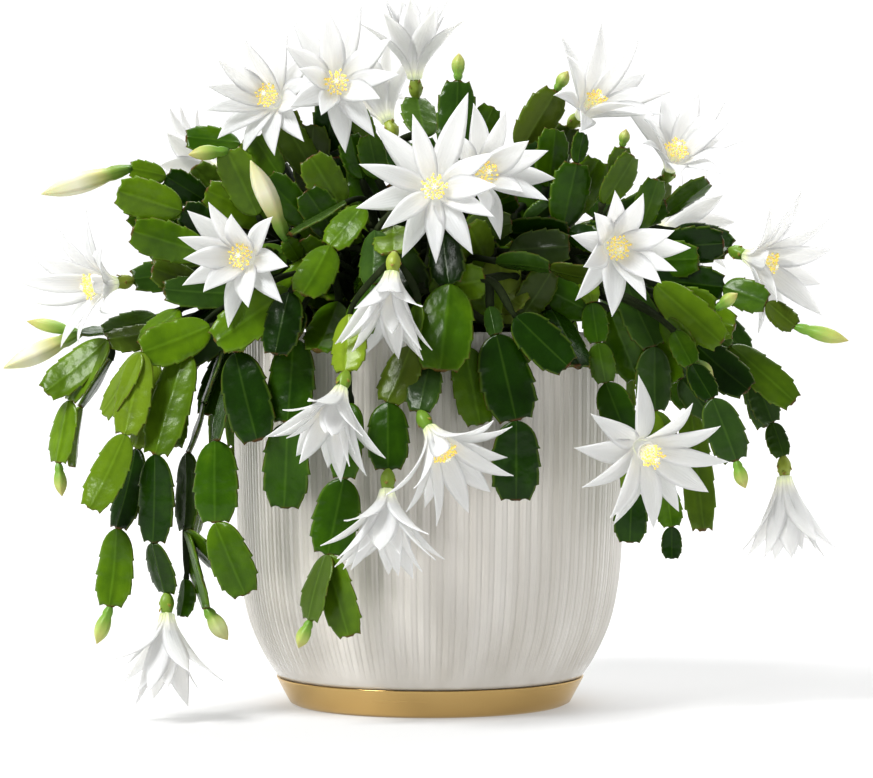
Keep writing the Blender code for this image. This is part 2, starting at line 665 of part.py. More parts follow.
def petal_courses(number):
    """All petals of a bloom in order round its axis: those drawn, and more where the gaps are wide."""
    axis = bloom_axis(number)
    up = Vector((0.0, 0.0, 1.0)) if abs(axis.z) < 0.9 else Vector((0.0, -1.0, 0.0))
    right = up.cross(axis).normalized()
    above = axis.cross(right)
    courses = []
    for tip in BLOOMS[number][2]:
        course = petal_course(number, tip, PETAL_LENGTH)
        courses.append((math.atan2(course.dot(above), course.dot(right)), course))
    opening = math.radians(HALF_CLOSED.get(number, OPEN_ANGLE))
    if not courses:
        return regular_courses(axis, right, above, opening), right, above
    courses.sort(key=lambda entry: entry[0])
    wanted = petal_count(number)
    while len(courses) < wanted:
        gaps = []
        for index, (turn, _) in enumerate(courses):
            after = courses[(index + 1) % len(courses)][0] + (math.tau if index == len(courses) - 1 else 0)
            gaps.append((after - turn, index))
        gap, index = max(gaps)
        if gap < math.radians(44) and len(courses) >= wanted - 1:
            break
        turn = courses[index][0] + gap / 2
        flat = right * math.cos(turn) + above * math.sin(turn)
        lean = opening - (INNER_LEAN if len(courses) % 2 else 0.0)
        course = (axis * math.cos(lean) + flat * math.sin(lean)) * PETAL_LENGTH * 0.94
        courses.append(((turn + math.pi) % math.tau - math.pi, course))
        courses.sort(key=lambda entry: entry[0])
    return spread_courses(courses, axis), right, above


def regular_courses(axis, right, above, opening):
    """Evenly spread petals, every other one more upright, for a bloom that the front view hides."""
    courses = []
    for index in range(REGULAR_PETALS):
        turn = math.tau * (index + 0.5) / REGULAR_PETALS - math.pi
        flat = right * math.cos(turn) + above * math.sin(turn)
        lean = opening - (INNER_LEAN if index % 2 else 0.0)
        courses.append((turn, (axis * math.cos(lean) + flat * math.sin(lean)) * PETAL_LENGTH))
    return courses


def rooms(turns):
    """Half the turn from each petal to the nearer of its two neighbours."""
    count = len(turns)
    gaps = [(turns[(index + 1) % count] - turns[index]) % math.tau for index in range(count)]
    return [min(gaps[index - 1], gaps[index]) / 2 for index in range(count)]


def spread_courses(courses, axis):
    """Turn petals that stand too close together a little apart round the bloom's axis."""
    count = len(courses)
    least = LEAST_SPREAD * math.tau / count
    turns = [turn for turn, _ in courses]
    for _ in range(40):
        for index in range(count):
            after = (index + 1) % count
            gap = turns[after] - turns[index] + (math.tau if after == 0 else 0)
            if gap < least:
                turns[index] -= (least - gap) / 2
                turns[after] += (least - gap) / 2
    spread = []
    for (old, course), turn in zip(courses, turns):
        spread.append((turn, Matrix.Rotation(turn - old, 3, axis) @ course))
    return spread


def petal_sections(number, base, course, inner, room):
    """Four-point sections along a petal, and its tip. The section nearest the throat keeps to the
    petal's own share of the round, which is room to each side."""
    axis = bloom_axis(number)
    reach = (course - axis * course.dot(axis)).length
    side = axis.cross(course).normalized()
    normal = course.normalized().cross(side)
    stations = [(0.60, 0.5)] if inner else [(0.32, 0.31), (0.66, 0.48)]
    half = PETAL_THICKNESS / 2
    sections = []
    for index, (share, width) in enumerate(stations):
        arch = axis * (PETAL_ARCH * math.sin(math.pi * share))
        centre = base + course * share + arch
        half_width = width * PETAL_BREADTH
        if index == 0:
            half_width = min(half_width, WEDGE_FILL * reach * share * math.tan(room))
        across = side * half_width
        sections.append([centre - across - normal * half, centre + across - normal * half,
                         centre + across + normal * half, centre - across + normal * half])
    return sections, base + course


def petal_shape(number, sections, tip, spare=0.0):
    """A closed stand-in for a petal, for testing that it is clear of others."""
    axis = bloom_axis(number)
    course = tip - throat(number)
    outward = (course - axis * course.dot(axis)).normalized()
    side = axis.cross(outward) * PETAL_ROOT_HALF
    foot = throat(number) + outward * (THROAT_RADIUS * 1.25) + course * 0.03
    rise = axis * (PETAL_THICKNESS / 2)
    root = [foot - side - rise, foot + side - rise, foot + side + rise, foot - side + rise]
    sections = [root, *sections]
    points = [point for section in sections for point in section] + [tip]
    middle = sum(points, Vector()) / len(points)
    points = [point + (point - middle).normalized() * spare for point in points]
    faces = [(0, 1, 2, 3)]
    last = 4 * (len(sections) - 1)
    for row in range(0, last, 4):
        faces.extend((row + c, row + (c + 1) % 4, row + 4 + (c + 1) % 4, row + 4 + c) for c in range(4))
    faces.extend((last + c, last + (c + 1) % 4, len(points) - 1) for c in range(4))
    return points, faces


def settle_bloom(number, crowd):
    """Choose each petal's course so that it is clear of the petals and blooms placed before."""
    node = "bloom_%02d" % number
    courses, right, above = petal_courses(number)
    axis = bloom_axis(number)
    base = throat(number)
    settled = []
    free = rooms([turn for turn, _ in courses])
    for index, (turn, course) in enumerate(courses):
        inner = index % 2 == 1
        side = axis.cross(course).normalized()
        for lift in LIFTS:
            tried = Matrix.Rotation(math.radians(lift), 3, side) @ course
            sections, tip = petal_sections(number, base, tried, inner, free[index])
            shape = petal_shape(number, sections, tip, SPARE)
            own_node = node + str(index)
            if crowd.clear(own_node, shape):
                break
        else:
            note("petal", node, index)
            tried = course
        crowd.add(own_node, shape)
        settled.append((turn, tried, inner, free[index]))
    tube = [ring(base - axis * (TUBE_LENGTH + TOUCH_GAP / 2), right, above, TUBE_RADIUS, TUBE_RADIUS),
            ring(base + axis * BAND_HEIGHT, right, above, THROAT_RADIUS, THROAT_RADIUS)]
    crowd.add(node + "tube", skin(tube, [None]))
    return settled, right, above


def make_bloom(number, settled, parts):
    """One flower: a tube whose upper band is drawn out, face by face, into petals."""
    petals, right, above = settled
    axis = bloom_axis(number)
    base = throat(number)
    count = len(petals)
    turns = [petal[0] for petal in petals]
    corners = [(turns[0] + turns[-1] - math.tau) / 2]
    corners += [(before + turn) / 2 for before, turn in zip(turns, turns[1:])]
    shell = bmesh.new()
    levels = [(-TUBE_LENGTH, TUBE_RADIUS), (-BAND_HEIGHT / 2, THROAT_RADIUS),
              (BAND_HEIGHT / 2, THROAT_RADIUS)]
    rows = []
    for level, radius in levels:
        row = []
        for corner in corners:
            flat = right * math.cos(corner) + above * math.sin(corner)
            row.append(shell.verts.new(base + axis * level + flat * radius))
        rows.append(row)
    shell.faces.new(reversed(rows[0]))
    shell.faces.new(rows[2])
    band = []
    for lower, upper in zip(rows, rows[1:]):
        for index in range(count):
            after = (index + 1) % count
            corners = (lower[index], lower[after], upper[after], upper[index])
            face = shell.faces.new(corners)
            if upper is rows[2]:
                band.append((face, [corner.co.copy() for corner in corners]))
    for (face, before), (_, course, inner, room) in zip(band, petals):
        sections, tip = petal_sections(number, base, course, inner, room)
        for section in sections:
            face = drawn_out(shell, face, before, section)
            before = section
        face = drawn_out(shell, face, before, before)
        bmesh.ops.pointmerge(shell, verts=face.verts[:], merge_co=tip)
    bloom = add_flower_object("bloom_%02d" % number, shell, parts, ("petal", (0.93, 0.93, 0.90), 0.5))
    if crosses_itself(bloom.data):
        join_crossings(bloom)
    return bloom


def drawn_out(shell, face, before, after):
    """Extrude a face, and move each corner from its place before to its place after."""
    face = bmesh.ops.extrude_discrete_faces(shell, faces=[face])["faces"][0]
    moves = []
    for old, new in zip(before, after):
        moves.append((min(face.verts, key=lambda vertex: (vertex.co - old).length), new))
    for vertex, new in moves:
        vertex.co = new
    return face


def add_flower_object(name, shell, parts, finish):
    bmesh.ops.triangulate(shell, faces=shell.faces)
    bmesh.ops.recalc_face_normals(shell, faces=shell.faces)
    mesh = bpy.data.meshes.new(name)
    shell.to_mesh(mesh)
    shell.free()
    thing = bpy.data.objects.new(name, mesh)
    parts.objects.link(thing)
    thing.data.materials.append(material(*finish))
    return thing


def mesh_tree(mesh):
    """A search tree over a mesh, and its faces."""
    faces = [tuple(face.vertices) for face in mesh.polygons]
    return BVHTree.FromPolygons([vertex.co for vertex in mesh.vertices], faces), faces


def crosses_itself(mesh):
    """True where two faces of a mesh meet that share no corner."""
    tree, faces = mesh_tree(mesh)
    for first, second in tree.overlap(tree):
        if not set(faces[first]) & set(faces[second]):
            return True
    return False


def join_crossings(thing):
    """Join the petals of one flower where they cross each other."""
    bpy.context.view_layer.objects.active = thing
    bpy.ops.object.mode_set(mode="EDIT")
    bpy.ops.mesh.select_all(action="SELECT")
    bpy.ops.mesh.intersect_boolean(operation="UNION", use_swap=False, use_self=True, solver="EXACT")
    bpy.ops.object.mode_set(mode="OBJECT")


def make_stamens(number, settled, bloom, crowd, parts):
    """A small dome of stamens just over the throat, as large as the petals leave room for."""
    for scale in STAMEN_SCALES:
        shell = stamen_shell(number, settled, scale)
        points = [vertex.co.copy() for vertex in shell.verts]
        faces = [tuple(vertex.index for vertex in face.verts) for face in shell.faces]
        inside = BVHTree.FromPolygons(points, faces).overlap(mesh_tree(bloom.data)[0])
        if not inside and crowd.clear("bloom_%02dtube" % number, (points, faces)):
            break
        if scale != STAMEN_SCALES[-1]:
            shell.free()
    add_flower_object("stamens_%02d" % number, shell, parts, ("anther", (0.90, 0.72, 0.18), 0.6))


def stamen_shell(number, settled, scale):
    """A short cone whose upper faces are drawn up into points."""
    _, right, above = settled
    axis = bloom_axis(number)
    lean = min(1.0, HALF_CLOSED.get(number, OPEN_ANGLE) / 60)
    shell = bmesh.new()
    bmesh.ops.create_cone(shell, cap_ends=True, segments=6, radius1=STAMEN_RADIUS * scale,
                          radius2=STAMEN_RADIUS * scale * 0.75, depth=STAMEN_BASE)
    raised = [face for face in shell.faces if face.normal.z > -0.5]
    poked = bmesh.ops.poke(shell, faces=raised)
    for vertex in poked["verts"]:
        flat = Vector((vertex.co.x, vertex.co.y, 0.0))
        outward = flat.normalized() * (STAMEN_REACH * 0.45 * lean) if flat.length > 0.0005 else Vector()
        vertex.co += (outward + Vector((0.0, 0.0, STAMEN_REACH))) * scale
    turn = Matrix((right, above, axis)).transposed().to_4x4()
    lift = BAND_HEIGHT / 2 + TOUCH_GAP + STAMEN_BASE / 2
    turn.translation = throat(number) + axis * lift
    bmesh.ops.transform(shell, matrix=turn, verts=shell.verts)
    shell.verts.index_update()
    return shell


def bezier(points, share):
    a, b, c, d = points
    left = 1.0 - share
    return (a * left ** 3 + b * (3 * left * left * share) + c * (3 * left * share * share)
            + d * share ** 3)


def bends_gently(points, way):
    """True where a run of points that goes on in a last way has no sharp bend."""
    ways = [(after - point).normalized() for point, after in zip(points, points[1:])] + [way]
    return all(one.dot(other) > LEAST_BEND for one, other in zip(ways, ways[1:]))


def wood_rings(course, shares, spare=0.0):
    """Rings round a woody stretch that follows a Bezier course, without a twist from one to the next."""
    rings = []
    normal = None
    for share in shares:
        centre = bezier(course, share)
        axis = bezier(course, share + 0.02) - centre
        side, normal = frame_of(axis, normal or facing(centre))
        rings.append(ring(centre, side, normal, WOOD_RADIUS + spare, WOOD_RADIUS + spare))
    return rings, (side, normal)


def note(what, node, plan):
    """Say what found no room, for whoever edits the plan."""
    print("no room:", what, node, plan)


class Stem:
    """One rooted stem: its crown, the joints it has reached, and the closed skins grown so far.

    While a chain grows, it has as many bodies as rings: the ring at its far end comes last."""

    def __init__(self, node, crowd):
        self.node = node
        self.crowd = crowd
        self.skins = []
        self.joints = []
        self.rings = []
        self.bodies = []
        self.roots = set()
        self.feet = crown_feet(node)

    def nearest_foot(self, start):
        """The free place on the crown's top that lies nearest to a start."""
        return min(self.feet, key=lambda foot: math.hypot(start.x - foot.x, start.y - foot.y))

    def wood_courses(self, start, way):
        """Ways to reach a start: from a joint close behind it, or over an arch from the crown. Each is a
        course, the shares of it that get a ring, and the pieces that it may touch."""
        near = []
        for joint, back, pieces in self.joints:
            run = start - joint
            if WOOD_SHORTEST < run.length < WOOD_LONGEST and run.dot(back) > -0.2 * run.length:
                reach = run.length * 0.3
                course = [joint - back * NECK_SINK, joint + back * reach, start - way * reach, start]
                near.append((run.length, course, pieces))
        near.sort(key=lambda entry: entry[0])
        for _, course, pieces in near[:4]:
            yield course, (0.0, 0.5), pieces
        foot = self.nearest_foot(start)
        run = Vector((start.x - foot.x, start.y - foot.y, 0.0))
        across = Vector((-run.y, run.x, 0.0)).normalized()
        reach = min(0.022, (start - foot).length * 0.3)
        for rise in RISES:
            for sidestep in SIDESTEPS:
                aside = across * (sidestep * MM)
                lift = Vector((0.0, 0.0, rise * MM))
                course = [foot, foot + lift + aside, start - way * reach + aside * 0.5, start]
                yield course, (0.0, 0.33, 0.67), self.roots

    def settle_wood(self, start, way):
        """Grow the woody stretch to a start along the first course that is clear."""
        for strict in (True, False):
            for course, shares, linked in self.wood_courses(start, way):
                if not bends_gently([bezier(course, share) for share in (*shares, 1.0)], way):
                    continue
                spare, frame = wood_rings(course, (*shares, 0.98), SPARE)
                shapes = [skin([a, b], [None]) for a, b in zip(spare, spare[1:])]
                allowed = linked if strict else None
                if not all(self.crowd.clear(self.node, shape, allowed) for shape in shapes[1:]):
                    continue
                added = [self.crowd.add(self.node, shape) for shape in shapes]
                if linked is self.roots:
                    self.roots.update(added[:2])
                    self.feet.remove(course[0])
                self.rings = wood_rings(course, shares)[0]
                self.bodies = [None] * len(shares)
                return frame, {added[-1]}
        return None

    def settle_segment(self, start, end, breadth, fixed, linked):
        """Roll a segment, or shift its far end in depth, until it is clear. None where nothing is."""
        tries = []
        for shift in (0,) if fixed else SHIFTS:
            for roll in ROLLS:
                tries.append((abs(shift) / 6 + abs(roll) / 18, shift, roll))
        tries.sort(key=lambda entry: entry[0])
        full = min(max(breadth, 0.5 * (end - start).length), max(breadth, FULL_BREADTH))
        lean = math.acos(min(1.0, breadth / full))
        for allowed in (linked, None):
            for effort, shift, roll in tries:
                if allowed is not None and effort > STRICT_EFFORT:
                    break
                far = end + Vector((0.0, shift * MM, 0.0))
                frame = frame_of(far - start, facing((start + far) / 2), lean + math.radians(roll))
                ends = [joint_ring(point, frame, full) for point in (start, far)]
                shape = skin(ends, [segment_body(start, far, frame, full, SPARE)])
                if self.crowd.clear(self.node, shape, allowed):
                    return far, frame, full, shape
        return None

    def sink_neck(self, joint, back, frame, breadth):
        """Start a chain with its neck sunk in the segment that ends at this joint."""
        self.rings = [joint_ring(joint - back * NECK_SINK, frame, breadth * 0.9)]
        self.bodies = [None]

    def close(self, here, frame, breadth, tip=None, rings=()):
        """End the chain at a joint, or with the rings of a bud or a receptacle."""
        self.rings.append(joint_ring(here, frame, breadth))
        self.rings.extend(rings)
        self.bodies.extend([None] * len(rings))
        self.skins.append(skin(self.rings, self.bodies, tip))

    def grow(self, plan):
        """Grow one spray from its plan, as far as there is room for it."""
        joints = [(place(*joint[:3]), joint[3] * MM) for joint in plan["joints"]]
        number = plan["bloom"]
        if number is not None:
            goal = receptacle_start(number)
            reach = (goal - joints[-1][0]).length
            joints.append((goal, min(GOAL_BREADTH, max(GOAL_BREADTH * 0.6, reach * 0.5))))
        here = joints[0][0]
        if plan["fork"]:
            here, heading, linked = min(self.joints, key=lambda joint: (joint[0] - here).length)
        ahead = joints[1][0] if len(joints) > 1 else place(*plan["bud"][:3])
        way = (ahead - here).normalized()
        frame = frame_of(way, facing(here))
        breadth = 2 * WOOD_RADIUS / JOINT_BREADTH
        if plan["fork"]:
            self.sink_neck(here, heading, frame, breadth)
        else:
            found = self.settle_wood(here, way)
            if found is None:
                note("wood", self.node, plan)
                return
            frame, linked = found
        heading = way
        drift = Vector()
        done = 0
        for end, wide in joints[1:]:
            is_goal = number is not None and done == len(joints) - 2
            found = self.settle_segment(here, end if is_goal else end + drift, wide, is_goal, linked)
            if found is None:
                note("segment", self.node, plan)
                break
            done += 1
            far, new_frame, full, shape = found
            drift += Vector() if is_goal else far - end - drift
            going = (far - here).normalized()
            if frame[0].dot(new_frame[0]) + frame[1].dot(new_frame[1]) < 0:
                new_frame = (-new_frame[0], -new_frame[1])
            if going.dot(heading) < STITCH_LIMIT and done > 1:
                self.close(here, frame, breadth)
                self.sink_neck(here, heading, new_frame, breadth)
                frame = new_frame
            mean = ((frame[0] + new_frame[0]).normalized(), (frame[1] + new_frame[1]).normalized())
            self.rings.append(joint_ring(here, mean, breadth))
            self.bodies.append(segment_body(here, far, new_frame, full))
            piece = self.crowd.add(self.node, shape)
            linked.add(piece)
            linked = {piece}
            self.joints.append((far, going, linked))
            here, heading, frame, breadth = far, going, new_frame, full
        if number is not None and done == len(joints) - 1:
            self.close(here, frame, breadth, rings=self.receptacle_rings(number, here, heading, frame))
        elif plan["bud"] and done == len(joints) - 1:
            rings, tip = self.bud_rings(here, heading, plan["bud"], drift, frame, breadth)
            self.close(here, frame, breadth, tip, rings)
        elif done:
            self.close(here, frame, breadth)

    def receptacle_rings(self, number, here, heading, frame):
        """The green swelling that carries a bloom, ending just under its tube."""
        axis = bloom_axis(number)
        side, normal = carry(frame, heading, axis)
        rings = []
        for share, radius in ((0.5, RECEPTACLE_RADIUS * 0.85), (1.0, RECEPTACLE_RADIUS)):
            rings.append(ring(here + axis * (RECEPTACLE_LENGTH * share), side, normal, radius, radius))
        self.crowd.add(self.node, skin(rings, [None]))
        return rings

    def bud_rings(self, here, heading, bud, drift, frame, breadth):
        """A pointed bud on the last joint, where there is room for it."""
        across, height, depth, radius = bud
        tip = place(across, height, depth) + drift
        side, normal = carry(frame, heading, tip - here)
        rings = []
        for share, swell in BUD_PROFILE:
            wide = radius * MM * swell
            rings.append(ring(here + (tip - here) * share, side, normal, wide, wide))
        shape = skin([joint_ring(here, frame, breadth), *rings], [None] * len(rings), tip)
        if not self.crowd.clear(self.node, shape):
            note("bud", self.node, bud)
            return [], None
        self.crowd.add(self.node, shape)
        return rings, tip

    def make(self, parts):
        """Join the crown and all skins into one body."""
        body = cylinder(self.node, CROWN_SIDES, CROWN_RADIUS, CROWN_BOTTOM, CROWN_TOP,
                        crown_place(self.node), parts)
        growth = bpy.data.collections.new(self.node + "_growth")
        bpy.context.scene.collection.children.link(growth)
        for index, (points, faces) in enumerate(self.skins):
            add_object("%s_%d" % (self.node, index), points, faces, growth)
        union = body.modifiers.new("Grow", "BOOLEAN")
        union.operation = "UNION"
        union.solver = "EXACT"
        union.use_self = True
        union.operand_type = "COLLECTION"
        union.collection = growth
        if not is_closed(evaluated_mesh(body)):
            union.solver = "MANIFOLD"
        made_mesh(body)
        for thing in list(growth.objects):
            bpy.data.objects.remove(thing)
        bpy.data.collections.remove(growth)
        body.data.materials.clear()
        body.data.materials.append(material("cactus segment", (0.10, 0.26, 0.05), 0.45))


def back_sprays(stem):
    """The sprays of a back stem: upper ones that arch out, and hanging ones that fall past the pot."""
    rng = random.Random(BACK_SEED + len(stem))
    low, high = BACK_ROUNDS[stem]
    sprays = []
    for count, radii, heights, breadth in (
            (BACK_UPPER, (48, 84, 112), (232, 262, 250), 17),
            (BACK_HANGING, (104, 116, 124, 128), (214, 186, 148, 110), 19)):
        for index in range(count):
            turn = math.radians(low + (high - low) * (index + 0.5) / count + rng.uniform(-3, 3))
            stretch = rng.uniform(0.92, 1.12)
            joints = []
            for step, (radius, height) in enumerate(zip(radii, heights)):
                swing = turn + math.radians(rng.uniform(-3, 3) * step)
                depth = radius * stretch * math.sin(swing)
                across = radius * stretch * math.cos(swing)
                drop = (height - rng.uniform(0, 14) * step)
                reach = (EYE_DISTANCE + depth * MM) / EYE_DISTANCE
                rim = POT_HEIGHT / MM
                joints.append((across / reach, rim + (drop - rim) / reach, depth, breadth if step else 0))
            sprays.append(spray(*joints))
    return sprays


def bloom_sprays(stem):
    """Short carriers for the blooms of a back stem."""
    sprays = []
    for number, start in BACK_BLOOMS[stem].items():
        sprays.append(spray((*start, 0), bloom=number))
    return sprays


def grow_plant(parts):
    crowd = Crowd()
    settled = {number: settle_bloom(number, crowd) for number in BLOOMS}
    stems = {node: Stem(node, crowd) for node in CROWNS}
    plans = dict(SPRAYS)
    for node in BACK_ROUNDS:
        plans[node] = bloom_sprays(node) + back_sprays(node)
    for wants_bloom in (True, False):
        for node, sprays in plans.items():
            for plan in sprays:
                if (plan["bloom"] is not None) == wants_bloom:
                    stems[node].grow(plan)
    for stem in stems.values():
        stem.make(parts)
    for number, petals in settled.items():
        bloom = make_bloom(number, petals, parts)
        make_stamens(number, petals, bloom, crowd, parts)


def main():
    for thing in list(bpy.data.objects):
        bpy.data.objects.remove(thing)
    parts = bpy.data.collections.new("potted_easter_cactus")
    cutters = bpy.data.collections.new("cutters")
    bpy.context.scene.collection.children.link(parts)
    bpy.context.scene.collection.children.link(cutters)
    make_foot(parts)
    make_pot(parts, cutters)
    make_soil(parts, cutters)
    grow_plant(parts)


main()
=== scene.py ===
"""The looks of a white-flowered Easter cactus in a ribbed ceramic pot with a brass foot.

Metres, +Z up, -Y is the front. The layout settles each segment, bud and petal where its solid lies, and the
shapes after it are built finely round those places.
"""

import json
import random
from math import acos, atan2, cos, exp, hypot, pi, radians, sin, sqrt, tan, tau

import bmesh
import bpy
from mathutils import Matrix, Vector, noise
from mathutils.bvhtree import BVHTree

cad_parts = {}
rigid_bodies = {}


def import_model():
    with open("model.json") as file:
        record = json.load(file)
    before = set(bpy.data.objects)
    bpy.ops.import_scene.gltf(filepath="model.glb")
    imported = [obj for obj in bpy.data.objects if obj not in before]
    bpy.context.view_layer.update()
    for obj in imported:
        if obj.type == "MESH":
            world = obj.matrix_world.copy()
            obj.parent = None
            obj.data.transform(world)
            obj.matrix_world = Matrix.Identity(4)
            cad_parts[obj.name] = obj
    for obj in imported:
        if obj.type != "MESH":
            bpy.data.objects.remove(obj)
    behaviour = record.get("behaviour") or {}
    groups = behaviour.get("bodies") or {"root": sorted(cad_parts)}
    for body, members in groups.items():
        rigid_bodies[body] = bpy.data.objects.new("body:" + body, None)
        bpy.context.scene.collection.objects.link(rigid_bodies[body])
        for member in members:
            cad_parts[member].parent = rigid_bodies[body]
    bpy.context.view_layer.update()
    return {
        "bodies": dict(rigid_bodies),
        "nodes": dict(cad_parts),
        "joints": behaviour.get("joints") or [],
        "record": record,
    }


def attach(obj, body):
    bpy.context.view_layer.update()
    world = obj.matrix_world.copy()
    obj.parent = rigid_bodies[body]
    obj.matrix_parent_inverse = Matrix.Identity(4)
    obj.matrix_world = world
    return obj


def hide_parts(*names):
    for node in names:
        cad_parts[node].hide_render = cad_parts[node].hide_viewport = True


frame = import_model()

MM = 0.001
TOUCH_GAP = 0.0003
UP = Vector((0.0, 0.0, 1.0))

# The pot and its outer curve: height, radius, and how fast the radius grows with height
POT_HEIGHT = 0.1855
POT_RADIUS = 0.098
POT_WALL = 0.0065
POT_FLOOR = 0.0105
POT_FLOOR_EDGE = 0.0240
POT_CURVE = [(0.0143, 0.0760, 0.72), (0.0200, 0.0800, 0.60), (0.0450, 0.0912, 0.26), (0.1000, 0.0968, 0.045),
             (0.1855, 0.0980, 0.0)]
SPIGOT_RADIUS = 0.0665
FOOT_FLOOR = 0.0030

# One reed with the fine bead on its crest: place round its share of the pot, and how deep the surface lies
REED_COUNT = 96
REED_DEPTH = 0.0010
REED_START = 0.0185
REED = [(0.0, 1.0), (0.055, 0.62), (0.12, 0.44), (0.22, 0.34), (0.31, 0.36), (0.38, 0.12), (0.44, 0.0),
        (0.50, 0.02), (0.56, 0.16), (0.62, 0.42), (0.70, 0.36), (0.82, 0.40), (0.90, 0.52), (0.95, 0.70)]

# Soil and crowns
SOIL_TOP = 0.1735
SOIL_LUMP = 0.0020
SOIL_GAP = 0.0004
SOIL_SEED = 4
SOIL_SHARES = (0.995, 0.97, 0.93, 0.88, 0.82, 0.75, 0.68, 0.6, 0.52, 0.44, 0.36, 0.28, 0.2, 0.12, 0.05)
CRUMB_COUNT = 260
CROWN_RING = 0.050
CROWN_RADIUS = 0.0140
CROWN_FEET = 14
CROWN_TOP = 0.1810
FOOT_DEPTH = 0.005
CROWN_ROWS = [(0.95, 0.1600), (1.00, 0.1690), (1.00, 0.1745), (0.92, 0.1780), (0.74, 0.1802), (0.48, 0.1815),
              (0.20, 0.1820), (0.03, 0.1820)]

# Segments as laid out: places along the edge and across the breadth, as shares of each
SEGMENT_EDGE = [(0.15, 0.40), (0.37, 0.48), (0.42, 0.43), (0.72, 0.50), (0.78, 0.42)]
SEGMENT_THICKNESS = 0.0032
FULL_BREADTH = 0.0190
JOINT_BREADTH = 0.22
JOINT_THICKNESS = 0.0022
GOAL_BREADTH = 0.017

# Segments as shown: laid out narrower than EDGE_ON, one is seen on edge and keeps its breadth. The others
# swell, the slim ones more, up to a share of their length. All keep a part of the roll that cleared them
EDGE_ON = 0.0085
SLIM = 0.0165
SLIM_SWELL = 1.28
WIDE_SWELL = 1.08
STOUTEST = 0.62
NARROWEST = 0.0080
FLAT_BREADTH = 0.66
ROLL_KEPT = 0.3

# Woody stretches. LEAST_BEND is the cosine of their sharpest bend, and LEAST_ONWARD that of the sharpest
# turn from the segment that they grow on. A handle is how far a course is drawn straight on at an end, as a
# share of its run, with a limit for those from the crown
WOOD_RADIUS = 0.0019
NECK_SINK = 0.0025
LEAST_BEND = 0.2
LEAST_ONWARD = -0.2
WOOD_SHORTEST = 0.008
WOOD_LONGEST = 0.050
WOOD_HANDLE = 0.3
LONGEST_HANDLE = 0.022
JOINTS_TRIED = 4
WOOD_STEP = 0.0035
WOOD_LINK = 0.028
WOOD_HALF = (0.0021, 0.0012)
GOLDEN_ANGLE = radians(137.5)

# Flowers
PETAL_LENGTH = 0.0380
PETAL_BREADTH = 0.0105
PETAL_THICKNESS = 0.0009
PETAL_ARCH = 0.0025
PETAL_ROOT_HALF = 0.0006
THROAT_RADIUS = 0.0050
TUBE_RADIUS = 0.0032
TUBE_LENGTH = 0.0100
BAND_HEIGHT = 0.0018
RECEPTACLE_LENGTH = 0.0085
RECEPTACLE_RADIUS = 0.0034
WIDE_GAP = radians(44)
ADDED_LENGTH = 0.94
LEAST_SPREAD = 0.85
SPREAD_ROUNDS = 40
LEAST_OPENING = radians(24)
WEDGE_FILL = 0.96
REGULAR_PETALS = 12
INNER_LEAN = radians(14)

# How far petals lean from the axis (degrees): in half closed blooms by number, and in all others
HALF_CLOSED = {3: 38, 17: 42, 12: 48, 13: 55, 15: 55, 18: 50}
OPEN_ANGLE = 68

# The room that stamens take up: how far past the throat, and its radius there
STAMEN_ROOM = ((0.0, 0.004), (0.013, 0.006))

# Sections of a petal's stand-in: share of its length, and half breadth as a share of the breadth
OUTER_SECTIONS = ((0.32, 0.31), (0.66, 0.48))
INNER_SECTIONS = ((0.60, 0.5),)

# The eye that the places below are drawn from: level with the rim, in front of the pot's axis
EYE_DISTANCE = 1.640

# How far pieces that are bent clear stay from the floor and from each other, and a place near nothing
FLOOR_CLEARANCE = 0.0032
SPARE = 0.0004
OUT_OF_REACH = UP * -100.0

# How far behind the pot's axis segments begin to face outward
BACK_FROM = 0.03

# What is tried to bend a piece clear: depth shifts (millimetres), rolls and lifts (degrees), and how high
# and how far aside wood is led from the crown (millimetres)
SHIFTS = (0, 3, -3, 6, -6, 10, -10, 15, -15)
ROLLS = (0, 18, -18, 36, -36, 55, -55)
LIFTS = (0, 5, -5, 10, -10, 16, -16, 23, -23, 31, -31, 40)
RISES = (55, 75, 35, 95, 20)
SIDESTEPS = (0, 12, -12, 24, -24)

# How far a segment is bent only to keep clear of its own stem, before it may grow into it
STRICT_EFFORT = 2.6

# Crowns: the angle of each stem's root round the pot's axis, in degrees from +X, and its distance from that
# axis as a share of CROWN_RING
CROWNS = {
    "stem_left_low": (190, 1.0),
    "stem_left_high": (154, 1.0),
    "stem_front_left": (235, 1.0),
    "stem_front_right": (290, 1.0),
    "stem_right_low": (345, 1.0),
    "stem_right_high": (20, 1.0),
    "stem_top": (270, 0.1),
    "stem_back_left": (112, 1.0),
    "stem_back_right": (65, 1.0),
}

